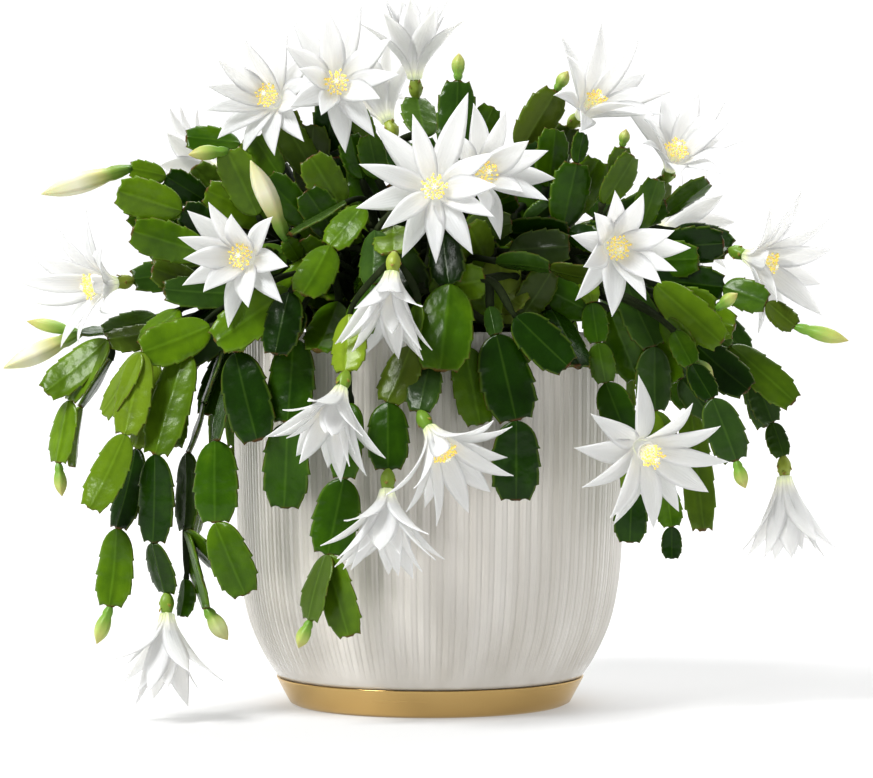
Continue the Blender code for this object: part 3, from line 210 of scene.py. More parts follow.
# Blooms: throat, the way the bloom faces (x, y, z), and the petal tips as drawn from the throat
BLOOMS = {
    1: ((-79, 302, -34), (-0.35, -0.90, 0.20),
        [(-31, -7), (-30, 3), (-25, 17), (-12, 27), (9, 31), (-23, -17), (-17, -23), (2, -27), (14, -22)]),
    2: ((-47, 309, -52), (0.05, -0.98, 0.10),
        [(-21, 34), (-8, 34), (10, 40), (27, 21), (-6, -17), (5, -34), (-21, -13), (22, -9), (31, 3)]),
    3: ((-8, 321, 2), (-0.05, -0.15, 0.98),
        [(-19, 16), (-15, 21), (-3, 28), (11, 23), (20, 17)]),
    4: ((2, 257, -104), (0.02, -0.99, 0.06),
        [(16, 45), (-13, 33), (-25, 33), (-35, 11), (-36, -11), (-21, -23), (-16, -32),
         (-5, -35), (18, -31), (28, -14), (31, 0), (28, 16)]),
    5: ((26, 264, -72), (0.30, -0.92, 0.10),
        [(-1, 32), (9, 30), (22, 14), (32, 6), (28, -17), (6, -22), (20, -6)]),
    6: ((80, 298, -20), (0.50, -0.70, 0.45),
        [(-14, 36), (4, 42), (27, 32), (40, 12), (30, -6), (20, -2)]),
    7: ((122, 273, -14), (0.15, -0.75, 0.55),
        [(-10, 28), (4, 31), (16, 32), (23, 30), (31, 11), (34, 6), (23, -9), (-18, 5), (-17, 17)]),
    8: ((-93, 223, -90), (-0.20, -0.95, 0.05),
        [(-17, 24), (-4, 19), (15, 18), (-26, 3), (-26, -4), (-29, -11), (-17, -17), (-14, -32),
         (1, -25), (16, -25), (22, -5)]),
    9: ((-165, 209, -50), (-0.78, -0.60, -0.12),
        [(-7, 37), (-22, 31), (-34, 17), (-40, 3), (-33, -12), (-20, -19), (-8, -28), (8, -14)]),
    10: ((92, 228, -92), (0.25, -0.93, -0.10),
         [(-11, 15), (0, 23), (12, 24), (27, 6), (32, -5), (24, -10), (22, -19), (17, -24), (-2, -33),
          (-16, -10)]),
    11: ((165, 221, -42), (0.71, -0.61, -0.30),
         [(3, 27), (21, 36), (35, 21), (36, 7), (32, -11), (27, -30), (18, -32), (5, -21)]),
    12: ((-20, 206, -120), (-0.10, -0.35, -0.93),
         [(-22, -24), (-10, -8), (-5, -30), (4, -30), (13, -23), (17, -3), (20, -9)]),
    13: ((-47, 149, -126), (-0.25, -0.55, -0.80),
         [(-25, -2), (-25, -12), (-16, -26), (-8, -29), (6, -26), (16, -16), (-15, 4)]),
    14: ((4, 130, -130), (0.45, -0.50, -0.74),
         [(25, 11), (32, -8), (32, -21), (26, -24), (12, -34), (5, -38), (-3, -30), (-13, -23),
          (-23, -20)]),
    15: ((-22, 97, -128), (-0.05, -0.35, -0.93),
         [(-28, -6), (-21, -21), (-14, -26), (-1, -32), (11, -32), (21, -21), (23, -11)]),
    16: ((108, 126, -100), (0.45, -0.78, -0.40),
         [(-27, 18), (-4, 36), (20, 23), (34, 12), (39, -5), (28, -23), (20, -27), (4, -37),
          (-15, -33), (-23, -31), (-30, -19), (-35, -1)]),
    17: ((178, 104, -30), (0.06, -0.10, -0.99),
         [(-16, -31), (3, -30), (19, -27)]),
    18: ((-132, 35, -78), (0.0, -0.15, -0.98),
         [(-30, -12), (-27, -20), (-21, -26), (-14, -33), (-10, -37), (6, -37), (11, -31), (13, -15)]),
    19: ((-112, 268, 40), (-0.75, 0.45, 0.25),
         [(-19, 12), (-20, 3), (3, -15)]),
    20: ((120, 238, 42), (0.65, 0.55, 0.30),
         [(26, 13), (8, 10)]),
    21: ((-24, 298, 30), (-0.35, 0.35, 0.85),
         [(-18, 26), (-6, 28)]),
    22: ((-58, 238, 112), (-0.35, 0.90, 0.20), []),
    23: ((52, 232, 116), (0.30, 0.93, 0.10), []),
    24: ((2, 150, 134), (0.05, 0.75, -0.65), []),
}


def spray(*joints, bud=None, bloom=None, fork=False, swell=None):
    """A chain of segments. A joint is (across, height, depth), and all but the first give the breadth of
    the segment that ends there. A fork starts on the nearest joint of its stem, any other spray at the
    crown. A swell is how much broader the segments are shown than laid out."""
    return dict(joints=joints, bud=bud, bloom=bloom, fork=fork, swell=swell)


SPRAYS = {
    "stem_left_high": [
        spray((-66, 238, -18), (-75, 270, -18, 8), bloom=1),
        spray((-70, 212, -40), bloom=8),
        spray((-110, 215, -22), bloom=9),
        spray((-92, 262, 22), bloom=19),
        spray((-86, 244, -50), (-101, 276, -56, 19), bud=(-121, 274, -62, 3.5)),
        spray((-75, 263, -48), (-88, 283, -52, 14)),
        spray((-79, 262, -20), (-95, 279, -26, 8), (-122, 282, -32, 12)),
        spray((-111, 250, -18), (-132, 263, -24, 15), (-150, 267, -30, 10), bud=(-195, 254, -40, 5.0)),
        spray((-100, 232, -42), (-124, 246, -52, 14), (-156, 256, -58, 16)),
        spray((-112, 225, -58), (-149, 236, -66, 18)),
        spray((-112, 240, -36), (-127, 241, -44, 10), bud=(-145, 239, -48, 3.0)),
        spray((-114, 208, -44), (-139, 217, -52, 12)),
        spray((-66, 222, -62), (-72, 232, -72, 9), bud=(-90, 272, -84, 5.0)),
    ],
    "stem_left_low": [
        spray((-122, 176, -74), (-137, 124, -86, 20), (-138, 80, -84, 15), bloom=18),
        spray((-110, 188, -74), (-144, 175, -82, 23), (-152, 134, -88, 15), (-170, 97, -90, 15)),
        spray((-144, 175, -82), (-163, 144, -76, 13), fork=True),
        spray((-138, 172, -66), (-146, 127, -70, 14), (-156, 87, -73, 17), (-160, 48, -75, 19),
              bud=(-167, 29, -76, 3.5)),
        spray((-135, 186, -50), (-161, 181, -56, 12), (-192, 155, -64, 15)),
        spray((-161, 181, -56), (-180, 151, -60, 13), (-186, 120, -63, 17), fork=True,
              bud=(-184, 103, -64, 3.0)),
        spray((-125, 196, -60), (-144, 178, -64, 17)),
        spray((-137, 193, -36), (-163, 185, -42, 13)),
        spray((-137, 188, -16), (-158, 186, -20, 8), (-175, 185, -24, 6), bud=(-202, 191, -20, 3.2)),
        spray((-175, 185, -24), bud=(-214, 167, -34, 5.0), fork=True),
        spray((-160, 172, -28), (-175, 148, -34, 8), (-179, 118, -36, 7)),
        spray((-104, 176, -64), (-113, 150, -68, 7), (-121, 125, -72, 8), (-122, 86, -76, 13),
              (-112, 47, -78, 9), bud=(-101, 31, -80, 4.0)),
        spray((-122, 86, -76), (-98, 62, -82, 9), fork=True),
        spray((-122, 62, -70), (-124, 43, -71, 9)),
        spray((-98, 168, -86), (-107, 131, -92, 9), (-107, 90, -96, 21), (-92, 54, -99, 19)),
        spray((-108, 182, -52), (-124, 159, -58, 7), (-128, 128, -58, 14)),
    ],
    "stem_front_left": [
        spray((-18, 238, -84), bloom=12),
        spray((-40, 194, -106), bloom=13),
        spray((-6, 200, -104), (-9, 178, -111, 8), (-21, 150, -117, 16), bloom=15),
        spray((-70, 206, -96), (-107, 180, -104, 20)),
        spray((-90, 198, -88), (-97, 175, -97, 11), (-86, 131, -105, 22)),
        spray((-70, 205, -102), (-77, 174, -109, 16)),
        spray((-64, 196, -92), (-68, 182, -97, 8), (-71, 140, -103, 21), (-73, 97, -106, 21)),
        spray((-40, 150, -103), (-43, 112, -106, 14), (-51, 74, -109, 24), (-60, 41, -111, 11),
              bud=(-66, 27, -112, 3.2)),
        spray((-51, 74, -109), (-40, 33, -112, 14), fork=True),
        spray((-33, 248, -82), (-50, 228, -90, 18), (-63, 204, -97, 20)),
        spray((-42, 250, -70), (-70, 234, -80, 7)),
        spray((-27, 236, -92), (-28, 209, -99, 21), (-38, 181, -107, 13)),
    ],
    "stem_front_right": [
        spray((2, 190, -100), (0, 168, -108, 8), bloom=14),
        spray((78, 214, -72), (81, 200, -78, 10), (84, 180, -80, 22), (88, 160, -80, 22), bloom=16),
        spray((7, 234, -84), (10, 209, -98, 24), (5, 166, -112, 26)),
        spray((0, 206, -90), (28, 212, -97, 14)),
        spray((30, 198, -98), (33, 184, -103, 10), (43, 141, -109, 29), (43, 101, -112, 24)),
        spray((15, 196, -98), (17, 178, -101, 9), (25, 139, -104, 15)),
        spray((43, 193, -104), (69, 168, -110, 19)),
        spray((96, 214, -62), (112, 178, -70, 15), (112, 146, -71, 15)),
        spray((112, 146, -71), (101, 106, -72, 14), (100, 80, -73, 13), fork=True),
        spray((112, 146, -71), (118, 108, -66, 12), (121, 88, -66, 11), (121, 72, -66, 9), fork=True),
        spray((90, 196, -66), (104, 162, -62, 13)),
        spray((36, 187, -78), (35, 223, -76, 16)),
        spray((44, 192, -76), (60, 216, -79, 14)),
        spray((33, 221, -84), (60, 218, -88, 7), (88, 213, -90, 6)),
    ],
    "stem_right_low": [
        spray((136, 190, -18), (149, 177, -21, 8), (163, 161, -24, 9), (171, 140, -27, 12), bloom=17),
        spray((112, 212, -46), (147, 208, -54, 14), (168, 200, -58, 14), (182, 188, -62, 12),
              bud=(209, 181, -68, 3.5)),
        spray((115, 202, -62), (143, 197, -68, 12), bud=(154, 205, -70, 3.0)),
        spray((113, 209, -74), (146, 180, -82, 14)),
        spray((116, 192, -74), (131, 172, -78, 8), bud=(142, 163, -80, 3.0)),
        spray((118, 192, -50), (132, 179, -56, 11), (159, 156, -64, 24)),
        spray((136, 187, -38), (150, 178, -42, 10), (182, 150, -48, 18)),
        spray((116, 180, -58), (126, 162, -62, 8), (140, 144, -64, 10)),
        spray((122, 186, -84), (131, 169, -87, 9), (141, 152, -90, 10), (153, 121, -92, 17),
              bud=(158, 107, -93, 3.2)),
        spray((140, 196, 4), (158, 172, 6, 16), (168, 138, 8, 18)),
    ],
    "stem_right_high": [
        spray((58, 262, 2), bloom=6),
        spray((104, 240, -2), bloom=7),
        spray((122, 236, -14), bloom=11),
        spray((106, 230, 26), bloom=20),
        spray((66, 238, -48), (73, 270, -52, 24), (76, 285, -50, 13)),
        spray((45, 276, -18), (63, 306, -24, 15), bud=(69, 316, -26, 3.0)),
        spray((58, 258, -34), (62, 287, -34, 18)),
        spray((92, 253, -28), (96, 278, -32, 12), bud=(98, 287, -34, 2.6)),
        spray((104, 236, -40), (113, 262, -44, 16)),
        spray((115, 244, -28), (139, 261, -32, 10)),
        spray((115, 228, -42), (147, 230, -48, 17)),
        spray((86, 250, -56), (101, 274, -56, 12)),
    ],
    "stem_top": [
        spray((-46, 250, -20), (-51, 276, -22, 18), bloom=2),
        spray((-3, 260, -18), (-3, 283, -14, 16), bloom=3),
        spray((4, 236, -58), bloom=4),
        spray((16, 246, -36), bloom=5),
        spray((-10, 262, 10), bloom=21),
        spray((38, 236, -50), (70, 236, -62, 9), bloom=10),
        spray((-44, 247, -58), (-60, 273, -62, 24)),
        spray((-30, 280, -22), (-38, 298, -24, 10)),
        spray((-34, 262, -42), (-40, 284, -44, 14)),
        spray((-26, 262, -46), (-31, 284, -48, 13)),
        spray((12, 270, -32), (14, 311, -28, 18), bud=(14.5, 325, -27, 3.2)),
        spray((22, 274, -22), (31, 298, -18, 12)),
        spray((-58, 264, -32), (-72, 288, -34, 12)),
        spray((18, 238, -62), (41, 240, -66, 13)),
    ],
}

# More segments where the plant is thick: start, end and breadth
MORE_SPRAYS = {
    "stem_left_low": [
        (-80, 212, -60, -118, 199, -68, 18), (-92, 204, -50, -133, 206, -58, 17),
        (-85, 196, -46, -122, 186, -54, 18), (-96, 190, -60, -128, 172, -66, 19),
        (-100, 178, -56, -112, 144, -64, 18),
    ],
    "stem_left_high": [
        (-98, 226, -30, -140, 224, -38, 17), (-72, 226, -54, -100, 212, -64, 19),
        (-80, 240, -30, -112, 256, -40, 18), (-55, 264, -40, -72, 234, -58, 20),
        (-60, 240, -60, -82, 262, -64, 18), (-100, 245, 0, -118, 268, -8, 17),
        (-118, 232, -10, -150, 246, -16, 16),
    ],
    "stem_front_left": [
        (-55, 222, -64, -76, 198, -76, 19), (-45, 232, -62, -62, 256, -64, 19),
        (-14, 214, -70, -18, 180, -86, 20), (-46, 200, -72, -56, 176, -88, 19),
        (-20, 232, -64, -6, 202, -84, 20),
    ],
    "stem_front_right": [
        (24, 214, -66, 46, 198, -84, 20), (40, 226, -60, 70, 228, -72, 19),
        (52, 210, -70, 80, 196, -78, 19), (60, 196, -72, 74, 168, -92, 19),
        (18, 226, -60, 30, 192, -84, 20), (70, 232, -50, 100, 232, -60, 18),
    ],
    "stem_right_high": [
        (70, 244, -40, 84, 272, -46, 19), (88, 240, -30, 118, 250, -36, 18),
        (60, 250, -30, 48, 280, -36, 19), (100, 222, -40, 134, 222, -48, 18),
    ],
    "stem_right_low": [
        (96, 200, -62, 126, 206, -70, 18), (104, 190, -58, 122, 160, -66, 18),
        (116, 196, -40, 152, 188, -48, 18),
    ],
    "stem_top": [
        (-34, 246, -36, -31, 277, -42, 19), (-44, 240, -26, -47, 273, -32, 19),
        (-60, 254, -22, -58, 289, -28, 18), (-50, 260, -6, -44, 296, -12, 18),
        (-20, 250, -40, -42, 268, -48, 19), (20, 252, -44, 44, 266, -50, 19),
        (-6, 240, -56, 20, 252, -62, 18), (30, 240, -44, 56, 252, -52, 19),
        (-30, 236, -54, -58, 244, -60, 19),
    ],
}

# The side that the front view doesn't show is leafed by rule: the angles that a stem spans, then for upper
# and hanging sprays how many there are, the radii and heights of their joints, and their breadth
BACK_ROUNDS = {"stem_back_left": (100, 172), "stem_back_right": (8, 80)}
BACK_UPPER = (3, (48, 84, 112), (232, 262, 250), 17)
BACK_HANGING = (4, (104, 116, 124, 128), (214, 186, 148, 110), 19)
BACK_SEED = 11

# Where the sprays start that carry the blooms of that side
BACK_BLOOMS = {
    "stem_back_left": {22: (-43, 236, 72), 24: (4, 206, 112)},
    "stem_back_right": {23: (39, 231, 75)},
}

# Foliage that fills the plant by rule: how slim it is laid out, then for sprays in the thick of the plant
# and hanging ones how many a stem gets, their breadths, and the most that a joint sways (degrees)
FILLER_SEED = 23
FILLER_CORE = 0.5
FILLER_UPPER = (34, (17, 22), 5)
FILLER_HANGING = (4, (16, 21), 1.6)

# In the thick: where a spray starts and how far it steps, as spans of radius and height round the pot's
# axis, how low it may come, and the dome over it, as the height at the axis and its fall with the radius
FILLER_START = ((22, 64), (192, 244))
FILLER_STEPS = (((10, 24), (-22, 30)), ((14, 24), (-24, 18)))
FILLER_LOWEST = 192
FILLER_DOME = (268, 0.25)

# Hanging behind the pot: the angles, the radii and heights of the joints, their stretch and their drop
FILLER_ROUNDS = {"stem_back_left": (96, 124), "stem_back_right": (60, 84)}
FILLER_RADII = (96, 112, 119, 123, 125)
FILLER_HEIGHTS = (206, 176, 140, 103, 68)
FILLER_STRETCH = (0.96, 1.15)
FILLER_DROP = (0, 14)

# Shades of single segments, from where each starts to where it ends as seen: light, yellow and grey
# The grey is a painted sheen: the grey-green reflection of the white surroundings, painted into the colour
SEGMENT_SHADES = [
    (-111, 250, -132, 263, 0.2), (-100, 232, -156, 256, 0.72, 0.1), (-162, 185, -172, 185, 0.4, 0.0, 0.5),
    (-110, 188, -144, 176, 0.8, 0.1), (-140, 171, -152, 134, 0.78, 0.5), (-133, 162, -137, 121, 0.7, 0.2),
    (-151, 129, -170, 97, 0.8, 0.3), (-157, 93, -158, 55, 0.72, 0.1), (-163, 187, -192, 163, 0.78, 0.2),
    (-181, 158, -185, 126, 0.76, 0.2), (-108, 138, -108, 98, 0.52), (-110, 95, -90, 60, 0.58, 0.1),
    (-156, 262, -126, 252, 0.78, 0.15), (-72, 138, -71, 104, 0.48), (-70, 183, -70, 145, 0.36),
    (-47, 118, -50, 82, 0.5), (-21, 157, -21, 123, 0.48), (44, 147, 44, 108, 0.26),
    (-144, 124, -156, 87, 0.2), (-138, 121, -138, 80, 0.25), (-110, 178, -124, 160, 0.35, 0.0, 0.7),
    (-107, 157, -121, 125, 0.35, 0.0, 0.6), (-104, 150, -107, 130, 0.35, 0.0, 0.6),
    (-97, 175, -85, 131, 0.22), (-70, 206, -107, 180, 0.72, 0.1), (-70, 204, -77, 174, 0.2),
    (-86, 244, -101, 276, 0.72, 0.2), (-75, 263, -88, 283, 0.65, 0.1), (-53, 273, -56, 298, 0.22),
    (-33, 246, -50, 228, 0.78, 0.1), (-48, 227, -63, 204, 0.68, 0.1), (-29, 181, -45, 162, 0.92, 0.8),
    (8, 232, 9, 211, 0.18), (0, 206, 28, 212, 0.78, 0.2), (14, 205, 5, 166, 0.7, 0.05),
    (36, 187, 35, 223, 0.62, 0.9, 0.2), (43, 191, 69, 168, 0.22), (33, 184, 43, 141, 0.22),
    (0, 168, -1, 139, 0.5, 0.0, 0.5), (92, 255, 96, 279, 0.7, 0.2), (115, 228, 147, 230, 0.22),
    (112, 212, 147, 207, 0.22), (101, 207, 112, 178, 0.45, 0.0, 0.4), (112, 178, 112, 146, 0.45, 0.0, 0.5),
    (81, 200, 90, 141, 0.6, 0.1, 0.1), (113, 209, 145, 180, 0.75, 0.2), (132, 179, 158, 157, 0.22),
    (148, 178, 177, 121, 0.45, 0.0, 0.6), (130, 169, 153, 121, 0.45, 0.0, 0.5),
]
SHADE_REACH = 13

# Rows of a segment: place along its edge, half breadth as a share of the full one, place along its middle
BLADE_ROWS = [
    (0.000, 0.085, 0.000), (0.018, 0.150, 0.020), (0.050, 0.238, 0.055), (0.105, 0.325, 0.110),
    (0.175, 0.395, 0.180), (0.255, 0.443, 0.255), (0.335, 0.472, 0.325), (0.374, 0.500, 0.362),
    (0.382, 0.458, 0.388), (0.450, 0.484, 0.455), (0.530, 0.502, 0.525), (0.604, 0.518, 0.593),
    (0.614, 0.468, 0.626), (0.680, 0.484, 0.685), (0.750, 0.478, 0.745), (0.818, 0.474, 0.803),
    (0.828, 0.418, 0.834), (0.880, 0.395, 0.872), (0.935, 0.345, 0.910), (1.004, 0.290, 0.940),
    (0.978, 0.215, 0.960), (0.984, 0.140, 0.980), (1.004, 0.085, 1.000),
]
TOOTH_ROWS = (7, 11, 15, 19)
BLADE_COLUMNS = (-1.0, -0.93, -0.75, -0.5, -0.22, -0.07, 0.0, 0.07, 0.22, 0.5, 0.75, 0.93, 1.0)

# Rows of petals, buds, receptacles and tubes: place along it, and breadth as a share of the fullest
PETAL_ROWS = [(0.0, 0.42), (0.08, 0.48), (0.18, 0.60), (0.28, 0.74), (0.38, 0.88), (0.47, 0.97), (0.54, 1.0),
              (0.62, 0.96), (0.70, 0.85), (0.78, 0.68), (0.86, 0.46), (0.93, 0.24), (0.975, 0.09),
              (1.0, 0.01)]
PETAL_COLUMNS = (-1.0, -0.62, -0.28, 0.0, 0.28, 0.62, 1.0)
PETAL_FULL = 0.0122
PETAL_HALF = 0.00028
INNER_PETALS = 5
BUD_PROFILE = [(0.10, 0.55), (0.45, 1.0), (0.82, 0.62)]
BUD_ROWS = [(0.0, 0.34), (0.05, 0.46), (0.12, 0.62), (0.20, 0.70), (0.26, 0.64), (0.36, 0.84), (0.48, 0.98),
            (0.60, 1.0), (0.72, 0.90), (0.82, 0.68), (0.90, 0.42), (0.96, 0.20), (1.0, 0.05)]
RECEPTACLE_ROWS = [(-0.08, 0.40), (0.05, 0.62), (0.20, 0.88), (0.38, 1.06), (0.58, 1.12), (0.78, 1.02),
                   (0.95, 0.88), (1.10, 0.80)]
TUBE_ROWS = [(0.0, 0.48), (0.2, 0.54), (0.5, 0.64), (0.8, 0.80), (1.0, 0.96), (1.02, 0.88), (0.95, 0.68),
             (0.93, 0.20)]
GRAIN_ROWS = [(-1.0, 0.35), (-0.5, 0.95), (0.25, 1.0), (1.0, 0.35)]
STAMEN_COUNT = 46
THREAD_RADIUS = 0.00024
STYLE_RADIUS = 0.00042
STYLE_LENGTH = 0.0100
STAMEN_SINK = 0.0035
STEM_SEED = 100
BLOOM_SEED = 200
PLAIN = (0.5, 0.5, 0.5, 1.0)

# Light, camera and film
ROOM_LIGHT = 0.20
FLOOR_SIZE = 60.0
FLOOR_GREY = 0.50
FLOOR_GLOW = 0.33
LIGHTS_AIM = Vector((0.0, 0.0, 0.17))
CAMERA_AIM = Vector((0.00325, 0.0, 0.157))
CAMERA_LENS = 135.26
CAMERA_FILM = 36.0
EXPOSURE = 0.16
GAMMA = 0.88


def place(across, height, depth):
    """The point in metres that is seen at (across, height) millimetres, drawn on the plane through the
    pot's axis, and lies depth millimetres behind it (in front of it where depth is negative)."""
    reach = (EYE_DISTANCE + depth * MM) / EYE_DISTANCE
    return Vector((across * MM * reach, depth * MM, POT_HEIGHT + (height * MM - POT_HEIGHT) * reach))


def picture(point):
    """Where a point is seen, and its depth, in millimetres: the reverse of place."""
    reach = (EYE_DISTANCE + point.y) / EYE_DISTANCE
    return point.x / reach / MM, (POT_HEIGHT + (point.z - POT_HEIGHT) / reach) / MM, point.y / MM


def round_axis(radius, turn, height=0.0):
    """The point at a radius, turn and height round the pot's axis."""
    return Vector((radius * cos(turn), radius * sin(turn), height))


def toward(one, other, turn):
    """One unit vector turned by an angle toward another that is square to it."""
    return one * cos(turn) + other * sin(turn)


def even_turns(count):
    return [tau * step / count for step in range(count)]


def pot_outside(height):
    """The outer radius of the pot's solid, which runs straight between the rows of its curve."""
    for (low, near, _), (high, far, _) in zip(POT_CURVE, POT_CURVE[1:]):
        if height <= high:
            return near + (far - near) * max(0.0, (height - low) / (high - low))
    return POT_RADIUS


def meets_holder(point):
    """True where a point lies in the pot's wall, in the soil or too near the floor."""
    radius = hypot(point.x, point.y)
    if point.z < FLOOR_CLEARANCE:
        return True
    if point.z > POT_HEIGHT + 2 * SPARE or radius > pot_outside(point.z) + 3 * SPARE:
        return False
    inside_mouth = radius < POT_RADIUS - POT_WALL - 3 * SPARE
    return not (inside_mouth and point.z > SOIL_TOP + SOIL_LUMP)


def ball_round(points):
    """The middle of some points, and the radius of the ball round it that holds them all."""
    centre = sum(points, Vector()) / len(points)
    return centre, max((point - centre).length for point in points)


class Crowd:
    """The pieces placed so far, so that the next one can be bent clear of them."""

    def __init__(self):
        self.pieces = []
        self.woody = set()

    def drop_wood(self):
        """Let later pieces grow through the woody stretches placed so far."""
        for index in self.woody:
            node, _, _, tree = self.pieces[index]
            self.pieces[index] = (node, OUT_OF_REACH, 0.0, tree)

    def add(self, node, shape):
        self.pieces.append((node, *ball_round(shape[0]), BVHTree.FromPolygons(*shape)))
        return len(self.pieces) - 1

    def clear(self, node, shape, linked=None):
        """True where a shape meets no piece of another node. With linked given, it meets none of its
        own node either, apart from the linked pieces, which it grows from."""
        points = shape[0]
        halfway = [(one + other) / 2 for one, other in zip(points, points[1:])]
        if any(meets_holder(point) for point in points + halfway):
            return False
        centre, radius = ball_round(points)
        tree = None
        for index, (other, middle, reach, other_tree) in enumerate(self.pieces):
            if other == node and (linked is None or index in linked):
                continue
            if (middle - centre).length > reach + radius:
                continue
            tree = tree or BVHTree.FromPolygons(*shape)
            if tree.overlap(other_tree):
                return False
        return True


def carry(frame, heading, going):
    """A frame carried round a bend without twisting."""
    turn = heading.rotation_difference(going)
    return turn @ frame[0], turn @ frame[1]


def frame_of(axis, normal, roll=0.0):
    """Unit side and normal vectors across an axis, with the normal rolled round it."""
    axis = axis.normalized()
    normal = (normal - axis * normal.dot(axis)).normalized()
    normal = Matrix.Rotation(roll, 3, axis) @ normal
    return axis.cross(normal).normalized(), normal


def ring(centre, side, normal, half, half_thickness=None):
    """Four points round a joint: left, top, right and bottom."""
    rise = normal * (half_thickness or half)
    return [centre - side * half, centre + rise, centre + side * half, centre - rise]


def joint_ring(centre, frame, breadth):
    """The narrow ring at a joint of a segment of this breadth."""
    return ring(centre, *frame, breadth * JOINT_BREADTH / 2, JOINT_THICKNESS / 2)


def segment_body(start, end, frame, breadth):
    """The four runs of points along a flat segment: left edge, top ridge, right edge, bottom ridge."""
    axis = end - start
    side, normal = frame
    middle = start + axis * 0.5
    rise = normal * (SEGMENT_THICKNESS / 2 + SPARE)
    edges = []
    for way in (-1, 1):
        edges.append([start + axis * along + side * (way * (breadth * across + SPARE))
                      for along, across in SEGMENT_EDGE])
    return [edges[0], [middle + rise], edges[1], [middle - rise]]


def quarter(edge, ridge):
    """Triangles between an edge of seven points and a ridge of three."""
    faces = []
    for index, (first, last) in enumerate([(0, 1), (1, 5), (5, 6)]):
        faces += [(ridge[index], edge[step], edge[step + 1]) for step in range(first, last)]
        if index < 2:
            faces.append((ridge[index], edge[last], ridge[index + 1]))
    return faces


def bands(rows, count):
    """The faces between rings of equally many points."""
    faces = []
    for near in range(0, (rows - 1) * count, count):
        for step in range(count):
            after = (step + 1) % count
            faces.append((near + step, near + after, near + count + after, near + count + step))
    return faces


def skin(rings, body=None, tip=None):
    """Points and faces of one closed skin over rings of four, or over the body between two of them."""
    points = [point for part in rings for point in part]
    last = len(points) - 4
    faces = [(3, 2, 1, 0)]
    if body:
        runs = []
        for corner, run in enumerate(body):
            runs.append([corner, *range(len(points), len(points) + len(run)), last + corner])
            points.extend(run)
        for edge in (0, 2):
            for ridge in (1, 3):
                faces.extend(quarter(runs[edge], runs[ridge]))
    else:
        faces.extend(bands(len(rings), 4))
    if tip is None:
        faces.append(tuple(range(last, last + 4)))
    else:
        points.append(tip)
        faces.extend((last + corner, last + (corner + 1) % 4, last + 4) for corner in range(4))
    return points, faces


def crown_place(stem):
    angle, share = CROWNS[stem]
    return round_axis(CROWN_RING * share, radians(angle))


def crown_feet(stem):
    """Places for woody stretches, spread over a crown's top by the golden angle."""
    feet = []
    for index in range(CROWN_FEET):
        radius = (CROWN_RADIUS - 1.3 * WOOD_RADIUS) * sqrt((index + 0.5) / CROWN_FEET)
        feet.append(crown_place(stem) + round_axis(radius, index * GOLDEN_ANGLE, CROWN_TOP - FOOT_DEPTH))
    return feet


def bloom_axis(number):
    return Vector(BLOOMS[number][1]).normalized()


def throat(number):
    return place(*BLOOMS[number][0])


def opening(number):
    """How far a bloom's petals lean from its axis."""
    return radians(HALF_CLOSED.get(number, OPEN_ANGLE))


def receptacle_start(number):
    """Where the stem's receptacle for a bloom begins."""
    return throat(number) - bloom_axis(number) * (TUBE_LENGTH + TOUCH_GAP + RECEPTACLE_LENGTH)


def facing(point):
    """The way a segment shows its flat side: to the front, and outward at the back."""
    outward = Vector((point.x, point.y, 0.0)) * 4
    if point.y > BACK_FROM:
        return outward.normalized() + UP * 0.2
    return Vector((0.0, -1.0, 0.15)) + outward


def petal_course(number, tip):
    """A petal's direction and length, from its tip as drawn: the missing depth fills up its length."""
    across, height = tip
    drawn = hypot(across, height) * MM
    depth = sqrt(max(PETAL_LENGTH * PETAL_LENGTH - drawn * drawn, 0.0))
    axis = bloom_axis(number)
    choices = [Vector((across * MM, sign * depth, height * MM)) for sign in (-1, 1)]
    wanted = cos(opening(number))
    course = min(choices, key=lambda choice: abs(choice.normalized().dot(axis) - wanted))
    short = LEAST_OPENING - axis.angle(course)
    if short > 0:
        course = Matrix.Rotation(short, 3, axis.cross(course)) @ course
    return course


def petal_courses(number):
    """All petals of a bloom in order round its axis: those drawn, and more where the gaps are wide. Half
    closed blooms get fewer, and one that the front view hides gets evenly spread ones."""
    axis = bloom_axis(number)
    up = UP if abs(axis.z) < 0.9 else Vector((0.0, -1.0, 0.0))
    right = up.cross(axis).normalized()
    above = axis.cross(right)
    courses = []
    for tip in BLOOMS[number][2]:
        course = petal_course(number, tip)
        courses.append((atan2(course.dot(above), course.dot(right)), course))

    def add_course(turn, leans_in, length):
        lean = opening(number) - (INNER_LEAN if leans_in else 0.0)
        courses.append(((turn + pi) % tau - pi, toward(axis, toward(right, above, turn), lean) * length))
        courses.sort(key=lambda entry: entry[0])

    if not courses:
        for index in range(REGULAR_PETALS):
            add_course(tau * (index + 0.5) / REGULAR_PETALS - pi, index % 2, PETAL_LENGTH)
        return courses, right, above
    courses.sort(key=lambda entry: entry[0])
    wanted = 8 + round(min(HALF_CLOSED.get(number, OPEN_ANGLE), 60) / 15)
    while len(courses) < wanted:
        turns = [turn for turn, _ in courses]
        gap, index = max((after - turn, index) for index, (turn, after)
                         in enumerate(zip(turns, turns[1:] + [turns[0] + tau])))
        if gap < WIDE_GAP and len(courses) >= wanted - 1:
            break
        add_course(turns[index] + gap / 2, len(courses) % 2, PETAL_LENGTH * ADDED_LENGTH)
    return spread_courses(courses, axis), right, above


def rooms(turns):
    """Half the turn from each petal to the nearer of its two neighbours."""
    count = len(turns)
    gaps = [(turns[(index + 1) % count] - turns[index]) % tau for index in range(count)]
    return [min(gaps[index - 1], gaps[index]) / 2 for index in range(count)]


